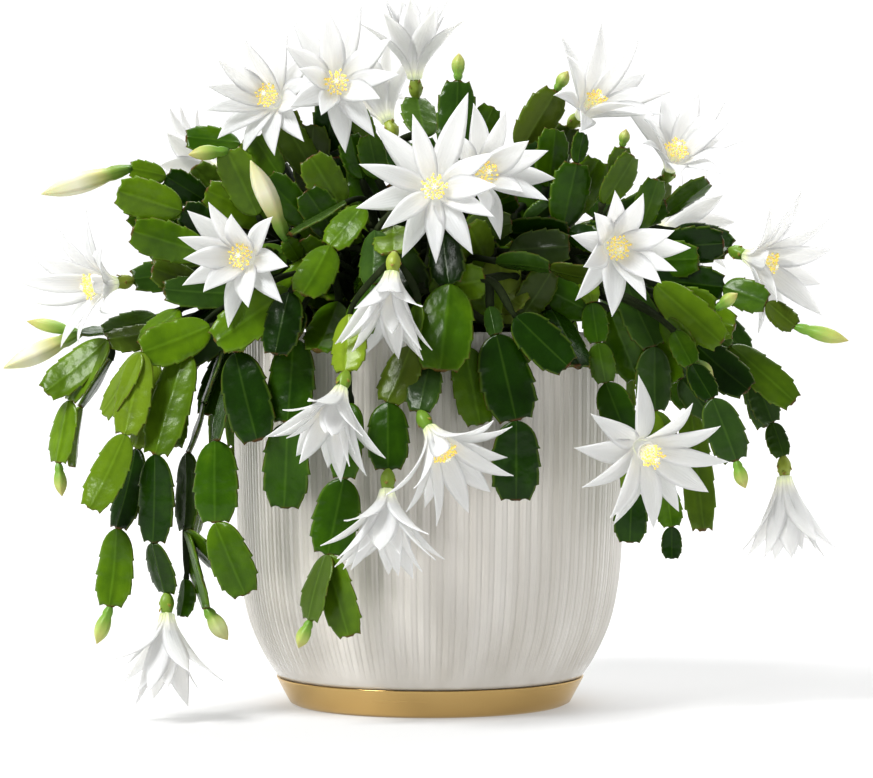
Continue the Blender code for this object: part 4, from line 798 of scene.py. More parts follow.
def spread_courses(courses, axis):
    """Turn petals that stand too close together a little apart round the bloom's axis."""
    count = len(courses)
    least = LEAST_SPREAD * tau / count
    turns = [turn for turn, _ in courses]
    for _ in range(SPREAD_ROUNDS):
        for index in range(count):
            after = (index + 1) % count
            gap = turns[after] - turns[index] + (tau if after == 0 else 0)
            if gap < least:
                turns[index] -= (least - gap) / 2
                turns[after] += (least - gap) / 2
    return [(turn, Matrix.Rotation(turn - old, 3, axis) @ course)
            for (old, course), turn in zip(courses, turns)]


def petal_shape(number, course, inner, room):
    """A closed stand-in for a petal, for testing that it is clear of others. The section nearest the throat
    keeps to the petal's own share of the round, which is room to each side."""
    axis = bloom_axis(number)
    base = throat(number)
    reach = (course - axis * course.dot(axis)).length
    side = axis.cross(course).normalized()
    rise = course.normalized().cross(side) * (PETAL_THICKNESS / 2)
    outward = (course - axis * course.dot(axis)).normalized()
    foot = base + outward * (THROAT_RADIUS * 1.25) + course * 0.03
    sections = [flat_section(foot, axis.cross(outward) * PETAL_ROOT_HALF, axis * (PETAL_THICKNESS / 2))]
    for share, width in INNER_SECTIONS if inner else OUTER_SECTIONS:
        half = width * PETAL_BREADTH
        if len(sections) == 1:
            half = min(half, WEDGE_FILL * reach * share * tan(room))
        centre = base + course * share + axis * (PETAL_ARCH * sin(pi * share))
        sections.append(flat_section(centre, side * half, rise))
    points, faces = skin(sections, tip=base + course)
    middle = sum(points, Vector()) / len(points)
    return [point + (point - middle).normalized() * SPARE for point in points], faces


def flat_section(centre, across, rise):
    """Four corner points round a centre."""
    return [centre - across - rise, centre + across - rise, centre + across + rise, centre - across + rise]


def settle_bloom(number, crowd):
    """Choose each petal's course so that it is clear of the petals and blooms placed before."""
    node = "bloom_%02d" % number
    courses, right, above = petal_courses(number)
    axis = bloom_axis(number)
    base = throat(number)
    settled = []
    for index, ((_, course), room) in enumerate(zip(courses, rooms([turn for turn, _ in courses]))):
        inner = index % 2 == 1
        side = axis.cross(course).normalized()
        own_node = node + str(index)
        for lift in LIFTS:
            tried = Matrix.Rotation(radians(lift), 3, side) @ course
            shape = petal_shape(number, tried, inner, room)
            if crowd.clear(own_node, shape):
                break
        else:
            tried = course
        crowd.add(own_node, shape)
        settled.append((tried, inner))
    crowd.add(node + "tube", skin([
        ring(base - axis * (TUBE_LENGTH + TOUCH_GAP / 2), right, above, TUBE_RADIUS),
        ring(base + axis * BAND_HEIGHT, right, above, THROAT_RADIUS)]))
    return settled, right, above


def bezier(points, share):
    a, b, c, d = points
    left = 1.0 - share
    return (a * left ** 3 + b * (3 * left * left * share) + c * (3 * left * share * share)
            + d * share ** 3)


def bends_gently(points, way):
    """True where a run of points that goes on in a last way has no sharp bend."""
    ways = [(after - point).normalized() for point, after in zip(points, points[1:])] + [way]
    return all(one.dot(other) > LEAST_BEND for one, other in zip(ways, ways[1:]))


def wood_rings(course, shares):
    """Rings round a woody stretch that follows a Bezier course, without a twist from one to the next."""
    rings = []
    normal = None
    for share in shares:
        centre = bezier(course, share)
        axis = bezier(course, share + 0.02) - centre
        side, normal = frame_of(axis, normal or facing(centre))
        rings.append(ring(centre, side, normal, WOOD_RADIUS + SPARE))
    return rings, (side, normal)


def bends(shifts):
    """The shifts and rolls that are tried on a segment, those of least effort first."""
    tries = [(abs(shift) / 6 + abs(roll) / 18, shift, roll) for shift in shifts for roll in ROLLS]
    return sorted(tries, key=lambda entry: entry[0])


def shown_frame(start, far, breadth, swell, roll):
    """How a segment is turned, rolled less than its solid was to keep clear, and its full breadth, which is
    fuller than its solid's, but for the ones seen on edge."""
    length = (far - start).length
    if swell or breadth >= EDGE_ON:
        swell = swell or (SLIM_SWELL if breadth < SLIM else WIDE_SWELL)
        breadth = min(breadth * swell, max(STOUTEST * length, NARROWEST))
    full = max(breadth, min(FULL_BREADTH, FLAT_BREADTH * length))
    lean = acos(breadth / full) + radians(roll) * ROLL_KEPT
    return frame_of(far - start, facing((start + far) / 2), lean), full


class Stem:
    """One rooted stem: the joints it has reached, and the places of all its pieces."""

    def __init__(self, node, crowd):
        self.node = node
        self.crowd = crowd
        self.joints = []
        self.roots = set()
        self.feet = crown_feet(node)
        self.wood = []
        self.segments = []
        self.buds = []
        self.receptacles = []

    def wood_courses(self, start, way):
        """Ways to reach a start: from a joint close behind it, or over an arch from the crown. Each is a
        course, the shares of it that get a ring, and the pieces that it may touch."""
        near = []
        for joint, heading, pieces in self.joints:
            run = start - joint
            if WOOD_SHORTEST < run.length < WOOD_LONGEST and run.dot(heading) > LEAST_ONWARD * run.length:
                reach = run.length * WOOD_HANDLE
                course = [joint - heading * NECK_SINK, joint + heading * reach, start - way * reach, start]
                near.append((run.length, course, pieces))
        near.sort(key=lambda entry: entry[0])
        for _, course, pieces in near[:JOINTS_TRIED]:
            yield course, (0.0, 0.5), pieces
        if not self.feet:
            return
        foot = min(self.feet, key=lambda foot: hypot(start.x - foot.x, start.y - foot.y))
        across = Vector((foot.y - start.y, start.x - foot.x, 0.0)).normalized()
        reach = min(LONGEST_HANDLE, (start - foot).length * WOOD_HANDLE)
        for rise in RISES:
            for sidestep in SIDESTEPS:
                aside = across * (sidestep * MM)
                lift = UP * (rise * MM)
                course = [foot, foot + lift + aside, start - way * reach + aside * 0.5, start]
                yield course, (0.0, 0.33, 0.67), self.roots

    def settle_wood(self, start, way):
        """Grow the woody stretch to a start along the first course that is clear."""
        for strict in (True, False):
            for course, shares, linked in self.wood_courses(start, way):
                if not bends_gently([bezier(course, share) for share in (*shares, 1.0)], way):
                    continue
                rings, frame = wood_rings(course, (*shares, 0.98))
                shapes = [skin(pair) for pair in zip(rings, rings[1:])]
                allowed = linked if strict else None
                if not all(self.crowd.clear(self.node, shape, allowed) for shape in shapes[1:]):
                    continue
                added = [self.crowd.add(self.node, shape) for shape in shapes]
                self.crowd.woody.update(added)
                if linked is self.roots:
                    self.roots.update(added[:2])
                    self.feet.remove(course[0])
                self.wood.append(course)
                return frame, {added[-1]}
        return None

    def settle_segment(self, start, end, breadth, fixed, linked):
        """Roll a segment, or shift its far end in depth, until it is clear. None where nothing is."""
        full = min(max(breadth, 0.5 * (end - start).length), max(breadth, FULL_BREADTH))
        lean = acos(min(1.0, breadth / full))
        for allowed in (linked, None):
            for effort, shift, roll in bends((0,) if fixed else SHIFTS):
                if allowed is not None and effort > STRICT_EFFORT:
                    break
                far = end + Vector((0.0, shift * MM, 0.0))
                frame = frame_of(far - start, facing((start + far) / 2), lean + radians(roll))
                ends = [joint_ring(point, frame, full) for point in (start, far)]
                shape = skin(ends, segment_body(start, far, frame, full))
                if self.crowd.clear(self.node, shape, allowed):
                    return far, frame, full, shape, roll
        return None

    def grow(self, plan):
        """Grow one spray from its plan, as far as there is room for it."""
        first, *rest = plan["joints"]
        here = place(*first)
        joints = [(place(*where), wide * MM) for *where, wide in rest]
        number = plan["bloom"]
        if number:
            goal = receptacle_start(number)
            reach = (goal - (joints[-1][0] if joints else here)).length
            joints.append((goal, min(GOAL_BREADTH, max(GOAL_BREADTH * 0.6, reach * 0.5))))
        if plan["fork"]:
            here, _, linked = min(self.joints, key=lambda joint: (joint[0] - here).length)
        ahead = joints[0][0] if joints else place(*plan["bud"][:3])
        heading = (ahead - here).normalized()
        frame = frame_of(heading, facing(here))
        full = 2 * WOOD_RADIUS / JOINT_BREADTH
        if not plan["fork"]:
            found = self.settle_wood(here, heading)
            if found is None:
                return
            frame, linked = found
        drift = Vector()
        for index, (end, wide) in enumerate(joints, 1):
            is_goal = bool(number) and index == len(joints)
            found = self.settle_segment(here, end if is_goal else end + drift, wide, is_goal, linked)
            if found is None:
                return
            far, new_frame, full, shape, roll = found
            if not is_goal:
                drift = far - end
            if frame[0].dot(new_frame[0]) + frame[1].dot(new_frame[1]) < 0:
                new_frame = (-new_frame[0], -new_frame[1])
            piece = self.crowd.add(self.node, shape)
            linked.add(piece)
            linked = {piece}
            heading = (far - here).normalized()
            self.joints.append((far, heading, linked))
            self.segments.append((here, far, *shown_frame(here, far, wide, plan["swell"], roll)))
            here, frame = far, new_frame
        if number:
            self.add_receptacle(number, here, heading, frame)
        elif plan["bud"]:
            self.add_bud(here, heading, plan["bud"], drift, frame, full)

    def add_receptacle(self, number, here, heading, frame):
        """The green swelling that carries a bloom, ending just under its tube."""
        axis = bloom_axis(number)
        side, normal = carry(frame, heading, axis)
        self.crowd.add(self.node, skin([
            ring(here + axis * (RECEPTACLE_LENGTH * share), side, normal, radius)
            for share, radius in ((0.5, RECEPTACLE_RADIUS * 0.85), (1.0, RECEPTACLE_RADIUS))]))
        self.receptacles.append((number, here, side, normal))

    def add_bud(self, here, heading, bud, drift, frame, breadth):
        """A pointed bud on the last joint, where there is room for it."""
        *where, radius = bud
        tip = place(*where) + drift
        side, normal = carry(frame, heading, tip - here)
        rings = [joint_ring(here, frame, breadth)]
        for share, swell in BUD_PROFILE:
            rings.append(ring(here + (tip - here) * share, side, normal, radius * MM * swell))
        shape = skin(rings, tip=tip)
        if self.crowd.clear(self.node, shape):
            self.crowd.add(self.node, shape)
            self.buds.append((here, tip, radius * MM, side, normal))


def back_sprays(stem):
    """The sprays of a back stem: upper ones that arch out, and hanging ones that fall past the pot."""
    rng = random.Random(BACK_SEED + len(stem))
    low, high = BACK_ROUNDS[stem]
    sprays = []
    for count, radii, heights, breadth in (BACK_UPPER, BACK_HANGING):
        for index in range(count):
            turn = radians(low + (high - low) * (index + 0.5) / count + rng.uniform(-3, 3))
            stretch = rng.uniform(0.92, 1.12)
            joints = []
            for step, (radius, height) in enumerate(zip(radii, heights)):
                swing = turn + radians(rng.uniform(-3, 3) * step)
                drop = height - rng.uniform(0, 14) * step
                joints.append(picture(round_axis(radius * stretch, swing, drop) * MM))
            sprays.append(spray(joints[0], *((*joint, breadth) for joint in joints[1:])))
    return sprays


def filler(joints, breadth):
    """A spray of extra foliage, laid out slim so that it finds room, and shown in full."""
    slim = [(*joint, breadth * FILLER_CORE) for joint in joints[1:]]
    return spray(joints[0], *slim, swell=1 / FILLER_CORE)


def rule_spray(turn, radii, heights, breadths, sway, rng):
    """A filler through places given by radius and height round the pot's axis."""
    breadth = rng.uniform(*breadths)
    joints = []
    for step, (radius, height) in enumerate(zip(radii, heights)):
        swing = turn + radians(rng.uniform(-sway, sway) * step)
        joints.append(picture(round_axis(radius, swing, height) * MM))
    return filler(joints, breadth)


def filler_sprays(node, rng):
    """More foliage for a stem, by rule: short and long sprays in the thick of the plant, and hanging ones
    behind the pot."""
    angle, share = CROWNS[node]
    spread = 60 if share > 0.5 else 180
    top, fall = FILLER_DOME
    sprays = []
    count, *habit = FILLER_UPPER
    for index in range(count):
        turn = radians(angle + rng.uniform(-spread, spread))
        radii, heights = ([rng.uniform(*span)] for span in FILLER_START)
        for outward, upward in FILLER_STEPS[:1 + index % 2]:
            radii.append(radii[-1] + rng.uniform(*outward))
            heights.append(heights[-1] + rng.uniform(*upward))
        heights = [max(FILLER_LOWEST, min(height, top - fall * radius))
                   for height, radius in zip(heights, radii)]
        sprays.append(rule_spray(turn, radii, heights, *habit, rng))
    count, *habit = FILLER_HANGING
    for _ in range(count if node in FILLER_ROUNDS else 0):
        turn = radians(rng.uniform(*FILLER_ROUNDS[node]))
        stretch = rng.uniform(*FILLER_STRETCH)
        drop = rng.uniform(*FILLER_DROP)
        radii = [radius * stretch for radius in FILLER_RADII]
        heights = [height - drop for height in FILLER_HEIGHTS]
        sprays.append(rule_spray(turn, radii, heights, *habit, rng))
    return sprays


def grow_plant():
    """Settle every bloom and grow every stem, first as the solids are laid out, then with more foliage."""
    crowd = Crowd()
    settled = {number: settle_bloom(number, crowd) for number in BLOOMS}
    stems = {node: Stem(node, crowd) for node in CROWNS}
    plans = dict(SPRAYS)
    for node in BACK_ROUNDS:
        carriers = [spray(start, bloom=number) for number, start in BACK_BLOOMS[node].items()]
        plans[node] = carriers + back_sprays(node)
    for wants_bloom in (True, False):
        for node, sprays in plans.items():
            for plan in sprays:
                if bool(plan["bloom"]) == wants_bloom:
                    stems[node].grow(plan)
    for number, (_, right, above) in settled.items():
        crowd.add("stamens_%02d" % number, skin([
            ring(throat(number) + bloom_axis(number) * rise, right, above, radius)
            for rise, radius in STAMEN_ROOM]))
    crowd.drop_wood()
    rng = random.Random(FILLER_SEED)
    for node, stem in stems.items():
        stem.feet = crown_feet(node)
        more = [filler((row[:3], row[3:6]), row[6]) for row in MORE_SPRAYS.get(node, ())]
        for plan in more + filler_sprays(node, rng):
            stem.grow(plan)
    return settled, stems


class Shape:
    """Points and faces gathered for one piece, with a place and a shade for each point."""

    def __init__(self):
        self.points = []
        self.faces = []
        self.kinds = []
        self.places = []
        self.shades = []

    def add_rings(self, rings, kind, shade):
        """A closed skin over rings of equally many spots, each a point and its place."""
        count = len(rings[0])
        spots = [spot for part in rings for spot in part]
        faces = [range(count)[::-1], range(len(spots) - count, len(spots)), *bands(len(rings), count)]
        first = len(self.points)
        self.points.extend(point for point, _ in spots)
        self.faces.extend([first + corner for corner in face] for face in faces)
        self.kinds.extend([kind] * len(faces))
        self.places.extend(where for _, where in spots)
        self.shades.extend([shade] * len(spots))

    def add_swept(self, stations, count, kind, shade, relief=None):
        """A closed skin round stations: centre, side, normal, share of the way, half breadth and half
        thickness. A relief swells it at a share and a turn."""
        rings = []
        for centre, side, normal, share, wide, thick in stations:
            part = []
            for turn in even_turns(count):
                swell = relief(share, turn) if relief else 1.0
                point = centre + side * (wide * swell * cos(turn)) + normal * (thick * swell * sin(turn))
                part.append((point, (turn / tau, share)))
            rings.append(part)
        self.add_rings(rings, kind, shade)

    def add_lathe(self, rows, turns, carve=None):
        """A closed body of revolution round the pot's axis; carve gives what is taken off its radius."""
        rings = []
        for row, (radius, height) in enumerate(rows):
            part = []
            for column, turn in enumerate(turns):
                wide = radius - (carve(column, height, row) if carve else 0.0)
                part.append((round_axis(wide, turn, height), (turn / tau, height)))
            rings.append(part)
        self.add_rings(rings, 0, PLAIN)

    def make(self, name, materials, slot, *nodes):
        """The piece as an object that stands for these CAD nodes."""
        mesh = bpy.data.meshes.new(name)
        mesh.from_pydata([tuple(point) for point in self.points], [], self.faces)
        mesh.polygons.foreach_set("material_index", self.kinds)
        mesh.polygons.foreach_set("use_smooth", [True] * len(self.faces))
        layer = mesh.uv_layers.new(name="place")
        corners = [self.places[loop.vertex_index] for loop in mesh.loops]
        layer.data.foreach_set("uv", [value for corner in corners for value in corner])
        shades = mesh.color_attributes.new("shade", "FLOAT_COLOR", "POINT")
        shades.data.foreach_set("color", [value for shade in self.shades for value in shade])
        for each in materials:
            mesh.materials.append(each)
        shape = bmesh.new()
        shape.from_mesh(mesh)
        bmesh.ops.recalc_face_normals(shape, faces=shape.faces)
        shape.to_mesh(mesh)
        shape.free()
        thing = bpy.data.objects.new(name, mesh)
        bpy.context.scene.collection.objects.link(thing)
        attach(thing, "root")
        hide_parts(*nodes)
        return thing


def leaf_ring(columns, surface):
    """Spots round a thin body, over its top and back under it. For a column, the surface gives the middle,
    the half thickness as a vector, and the place along."""
    spots = [(column, *surface(column)) for column in columns]
    top = [(base + rise, (column, along)) for column, base, rise, along in spots]
    under = [(base - rise, (column, along)) for column, base, rise, along in spots[1:-1]]
    return top + under[::-1]


def segment_shade(start, far, rng):
    """How light, yellow and grey (painted sheen) a segment is, from the nearest one in the list, or drawn by
    lot.
    """
    middle = [(one + other) / 2 for one, other in zip(picture(start), picture(far))]
    away, light, yellow, painted_sheen = min((hypot((x1 + x2) / 2 - middle[0], (z1 + z2) / 2 - middle[1]),
                                     *(*shade, 0.0, 0.0)[:3]) for x1, z1, x2, z2, *shade in SEGMENT_SHADES)
    if away < SHADE_REACH and start.y < 0.0:
        return light + rng.uniform(-0.05, 0.05), yellow, painted_sheen, rng.random()
    painted_sheen = max(0.0, rng.uniform(-0.9, 0.5))
    return rng.uniform(0.22, 0.78), max(0.0, rng.uniform(-0.5, 0.4)), painted_sheen, rng.random()


def add_blade(shape, start, far, frame, full, rng):
    """One leafy segment: notched edges, a raised midrib, and a slight bend, cup and ripple."""
    side, normal = frame
    axis = far - start
    bend = rng.uniform(-0.0013, 0.0013)
    cup = rng.uniform(-0.0012, 0.0012)
    twist = rng.uniform(-0.10, 0.10)
    ripple = rng.uniform(0.0002, 0.0005)
    waves = rng.uniform(5, 9)
    phases = (rng.uniform(0, 6), rng.uniform(0, 6))
    shifts = (rng.uniform(-0.035, 0.035), rng.uniform(-0.035, 0.035))
    half_thick = rng.uniform(0.0010, 0.0014)

    def surface(column):
        which = 0 if column < 0 else 1
        outer = edge + shifts[which] * sin(pi * min(edge, 1.0))
        along = middle + (outer - middle) * column * column
        across = column * (half + extra[which]) * full
        swell = sin(pi * min(max(along, 0.0), 1.0))
        thick = half_thick * sqrt(max(0.0, 1 - abs(column) ** 2.2)) + 0.0003 * exp(-(column / 0.12) ** 2)
        lift = bend * swell + cup * column * column * swell + twist * across * (along - 0.5) * swell
        lift += ripple * abs(column) ** 3 * sin(waves * along + phases[which]) * swell
        return start + axis * along + side * across + normal * lift, normal * thick, along

    rings = []
    for row, (edge, half, middle) in enumerate(BLADE_ROWS):
        extra = [rng.uniform(-0.012, 0.018) if row in TOOTH_ROWS else 0.0 for _ in range(2)]
        rings.append(leaf_ring(BLADE_COLUMNS, surface))
    shape.add_rings(rings, 0, segment_shade(start, far, rng))


def add_wood(shape, course, rng):
    """An old woody stretch: flattened, ridged along its middle, and pinched at its old joints."""
    points = [bezier(course, step / 60) for step in range(61)]
    length = sum((after - point).length for point, after in zip(points, points[1:]))
    steps = max(5, round(length / WOOD_STEP))
    normal = None
    stations = []
    offset = rng.uniform(0, WOOD_LINK)
    for step in range(steps + 1):
        share = step / steps
        centre = bezier(course, share)
        axis = bezier(course, share + 0.01) - bezier(course, share - 0.01)
        side, normal = frame_of(axis, normal or facing(centre))
        pinch = abs(cos(pi * (offset + length * share) / WOOD_LINK)) ** 10
        thick = WOOD_HALF[1] * (1 + 0.15 * pinch)
        stations.append((centre, side, normal, share, WOOD_HALF[0] * (1 - 0.42 * pinch), thick * 0.85))
    shade = (rng.uniform(0.2, 0.7), 0.0, 0.0, rng.random())
    shape.add_swept(stations, 8, 1, shade, lambda _, turn: 1.25 / 0.85 if abs(cos(turn)) < 0.1 else 1.0)


def add_lobed(shape, base, axis, side, normal, rows, radius, kind, shade, depth, twist=0.0):
    """A closed body of five lobes along an axis that needn't be of unit length."""
    stations = [(base + axis * share, side, normal, share, radius * swell, radius * swell)
                for share, swell in rows]
    shape.add_swept(stations, 20, kind, shade, lambda share, turn: 1 + depth * cos(5 * turn + twist * share))


def add_petal(shape, course, side, full, kind, shade, rng):
    """A closed lance-shaped blade along a Bezier course, slightly channelled, with its keel below."""
    wave = rng.uniform(0, 6)
    lean = rng.uniform(-0.10, 0.10)

    def surface(column):
        lift = 0.16 * half * column * column + 0.05 * half * column * sin(wave + 5 * share)
        lift -= 0.03 * half * exp(-(column / 0.2) ** 2)
        rise = normal * (PETAL_HALF * sqrt(1 - column * column))
        return centre + across * (column * half) + normal * lift, rise, share

    rings = []
    for share, width in PETAL_ROWS:
        centre = bezier(course, share)
        axis = (bezier(course, share + 0.01) - bezier(course, share - 0.01)).normalized()
        across = (side - axis * side.dot(axis)).normalized()
        normal = across.cross(axis)
        across = (across + normal * lean).normalized()
        half = full / 2 * width
        rings.append(leaf_ring(PETAL_COLUMNS, surface))
    shape.add_rings(rings, kind, shade)


def add_receptacle(shape, number, here, side, normal, rng):
    """The ridged green swelling under a bloom, with small scales that lie against it."""
    axis = bloom_axis(number)
    shade = (rng.uniform(0.4, 0.8), rng.random(), 0.0, rng.random())
    add_lobed(shape, here, axis * RECEPTACLE_LENGTH, side, normal, RECEPTACLE_ROWS, RECEPTACLE_RADIUS * 0.92,
              2, shade, 0.06)
    for index in range(4):
        out = toward(side, normal, index * GOLDEN_ANGLE)
        foot = here + axis * (RECEPTACLE_LENGTH * (0.35 + 0.14 * index)) + out * (RECEPTACLE_RADIUS * 0.80)
        tip = foot + axis * 0.0026 + out * 0.0010
        course = [foot, foot + axis * 0.001 + out * 0.0005, tip - axis * 0.001, tip]
        add_petal(shape, course, axis.cross(out), 0.0022, 2, (0.9, 0.9, 0.0, 1.0), rng)


def add_bud(shape, here, tip, radius, side, normal, rng):
    """A bud: a lobed green foot, then wrapped petals that taper to a point."""
    shade = (min(1.0, radius / 0.005), rng.random(), 0.0, rng.random())
    axis = tip - here
    add_lobed(shape, here - axis * 0.02, axis, side, normal, BUD_ROWS, radius, 3, shade, 0.10, 2.6)


def add_bloom(shape, number, courses, right, above, rng):
    """A bloom: its tube, the petals where they were settled, and shorter ones within."""
    axis = bloom_axis(number)
    base = throat(number)
    half_closed = number in HALF_CLOSED
    # The tube's shade has its third part at one, which gives it the petals' strongest painted glow
    add_lobed(shape, base - axis * TUBE_LENGTH, axis * TUBE_LENGTH, right, above, TUBE_ROWS, THROAT_RADIUS, 0,
              (0.0, 0.0, 1.0, 0.5), 0.03)
    blades = [(course, 0.86 if inner else 1.0) for course, inner in courses]
    for index in range(INNER_PETALS if half_closed or len(courses) < 9 else 0):
        turn = tau * (index + rng.uniform(-0.15, 0.15)) / INNER_PETALS
        way = toward(axis, toward(right, above, turn), opening(number) * 0.6)
        blades.append((way * (PETAL_LENGTH * rng.uniform(0.78, 0.90)), 0.85))
    for course, broad in blades:
        flat = (course - axis * course.dot(axis)).normalized()
        root = base - axis * (TUBE_LENGTH * 0.92) + flat * 0.0026
        arch = axis * (0.002 if half_closed else 0.0045)
        bent = [root, base + flat * 0.0036, base + course * 0.55 + arch, base + course]
        full = PETAL_FULL * broad * rng.uniform(0.92, 1.06) * (1.12 if half_closed else 1.0)
        shade = (rng.random(), float(half_closed), 0.0, rng.random())
        add_petal(shape, bent, flat.cross(axis), full, 0, shade, rng)


def add_thread(shape, course, radius, kind, shade):
    """A thin thread along a Bezier course."""
    stations = []
    normal = None
    for share in (0.0, 0.25, 0.5, 0.75, 1.0):
        axis = bezier(course, share + 0.02) - bezier(course, share - 0.02)
        side, normal = frame_of(axis, normal or Vector((0.3, -0.8, 0.5)))
        wide = radius * (1 - 0.35 * share)
        stations.append((bezier(course, share), side, normal, share, wide, wide))
    shape.add_swept(stations, 4, kind, shade)


def add_grain(shape, centre, axis, radius, length, kind, shade=PLAIN):
    """A small closed grain along a unit axis."""
    across = frame_of(axis, Vector((0.31, 0.87, 0.39)))
    shape.add_swept([(centre + axis * (length * share / 2), *across, share, radius * swell, radius * swell)
                     for share, swell in GRAIN_ROWS], 6, kind, shade)


def add_stamens(shape, number, right, above, rng):
    """Pale threads that fan out of the throat, each with a golden anther, round a star-tipped style."""
    axis = bloom_axis(number)
    base = throat(number)
    widest = radians(20 if number in HALF_CLOSED else 34)
    for index in range(STAMEN_COUNT):
        flat = toward(right, above, index * GOLDEN_ANGLE + rng.uniform(-0.2, 0.2))
        spread = sqrt((index + 0.5) / STAMEN_COUNT)
        way = toward(axis, flat, widest * spread)
        length = rng.uniform(0.0068, 0.0092) * (1 - 0.10 * spread)
        root = base - axis * STAMEN_SINK + flat * (0.0022 * spread + 0.0005)
        tip = base + flat * (0.0018 * spread) + way * length
        course = [root, root + axis * 0.004 + flat * 0.0004, tip - way * 0.003 + flat * 0.0004, tip]
        add_thread(shape, course, THREAD_RADIUS, 0, (0.5, 0.5, 0.5, rng.random()))
        lean = (way + flat * rng.uniform(-0.4, 0.6)).normalized()
        add_grain(shape, tip + way * 0.0002, lean, 0.00058, 0.0013, 1, (0.5, 0.5, 0.5, rng.random()))
    top = base + axis * STYLE_LENGTH
    add_thread(shape, [base - axis * STAMEN_SINK, base, top - axis * 0.003, top], STYLE_RADIUS, 2, PLAIN)
    for turn in even_turns(6):
        way = (toward(right, above, turn) + axis * 0.35).normalized()
        add_grain(shape, top + way * 0.0009, way, 0.00030, 0.0016, 2)


def add_crown(shape, node):
    """The low lumpy mound that a stem's woody stretches rise from."""
    middle = crown_place(node)
    rings = []
    for share, height in CROWN_ROWS:
        part = []
        for turn in even_turns(24):
            lump = 1 + 0.07 * noise.noise(round_axis(2, turn, height * 300) + middle * 90)
            rise = 0.0010 * noise.noise(round_axis(share * 4, turn, 3.0) + middle * 70)
            point = middle + round_axis(CROWN_RADIUS * share * lump, turn, height + rise)
            part.append((point, (turn / tau, 0.0)))
        rings.append(part)
    shape.add_rings(rings, 1, (0.3, 0.0, 0.0, 0.4))


def set_inputs(tree, made, inputs):
    """Set a node's inputs, each to a value or to another node's output."""
    for key, value in inputs.items():
        if isinstance(value, bpy.types.NodeSocket):
            tree.links.new(value, made.inputs[key])
        else:
            made.inputs[key].default_value = value


def node(tree, kind, inputs, **settings):
    made = tree.nodes.new(kind)
    for name, value in settings.items():
        setattr(made, name, value)
    set_inputs(tree, made, inputs)
    return made


def calc(tree, operation, *values):
    return node(tree, "ShaderNodeMath", dict(enumerate(values)), operation=operation).outputs[0]


def times(tree, one, other):
    return calc(tree, "MULTIPLY", one, other)


def mixed(tree, share, one, other):
    """One colour moved toward another by a share."""
    return node(tree, "ShaderNodeMix", {0: share, 6: one, 7: other}, data_type="RGBA").outputs[2]


def tinted(tree, colour, tint, share, most):
    """A colour moved toward a tint by a share of the most."""
    return mixed(tree, times(tree, share, most), colour, (*tint, 1.0))


def ramp(tree, value, *stops):
    """Colours along a value; each stop is a place and its colour."""
    made = node(tree, "ShaderNodeValToRGB", {0: value})
    elements = made.color_ramp.elements
    while len(elements) < len(stops):
        elements.new(0.5)
    for element, (where, *colour) in zip(elements, stops):
        element.position = where
        element.color = (*colour, 1.0)
    return made.outputs[0]


def between(tree, value, low, high, *ends):
    """How far a value has come from low to high, eased."""
    inputs = dict(enumerate((value, low, high, *ends)))
    return node(tree, "ShaderNodeMapRange", inputs, interpolation_type="SMOOTHSTEP").outputs[0]


def beyond(tree, value, low, high):
    """What is left of one once a value has come from low to high."""
    return calc(tree, "SUBTRACT", 1.0, between(tree, value, low, high))


def grain(tree, scale, detail=2.0, stretch=(1.0, 1.0, 1.0)):
    """Noise over the object's own space."""
    space = node(tree, "ShaderNodeTexCoord", {}).outputs["Object"]
    laid = node(tree, "ShaderNodeMapping", {"Vector": space, "Scale": stretch}).outputs[0]
    return node(tree, "ShaderNodeTexNoise", {"Vector": laid, "Scale": scale, "Detail": detail}).outputs[0]


def place_parts(tree):
    """The across and along places, and the shade's parts: light, yellow and grey; the grey is a painted sheen
    on segments and marks the tube for painted glow on blooms.
    """
    uv = node(tree, "ShaderNodeUVMap", {}, uv_map="place").outputs[0]
    where = node(tree, "ShaderNodeSeparateXYZ", {0: uv}).outputs
    held = node(tree, "ShaderNodeAttribute", {}, attribute_name="shade").outputs["Color"]
    return (*where[:2], *node(tree, "ShaderNodeSeparateColor", {0: held}).outputs[:3])


def new_material(name):
    made = bpy.data.materials.new(name)
    made.use_nodes = True
    return made, made.node_tree


def finished(made, inputs, height=None, strength=0.0, distance=0.0):
    """The material with its shader's inputs set, and a bump where a height is given."""
    tree = made.node_tree
    if height:
        bump = {"Height": height, "Strength": strength, "Distance": distance}
        inputs = inputs | {"Normal": node(tree, "ShaderNodeBump", bump).outputs[0]}
    set_inputs(tree, tree.nodes["Principled BSDF"], inputs)
    return made


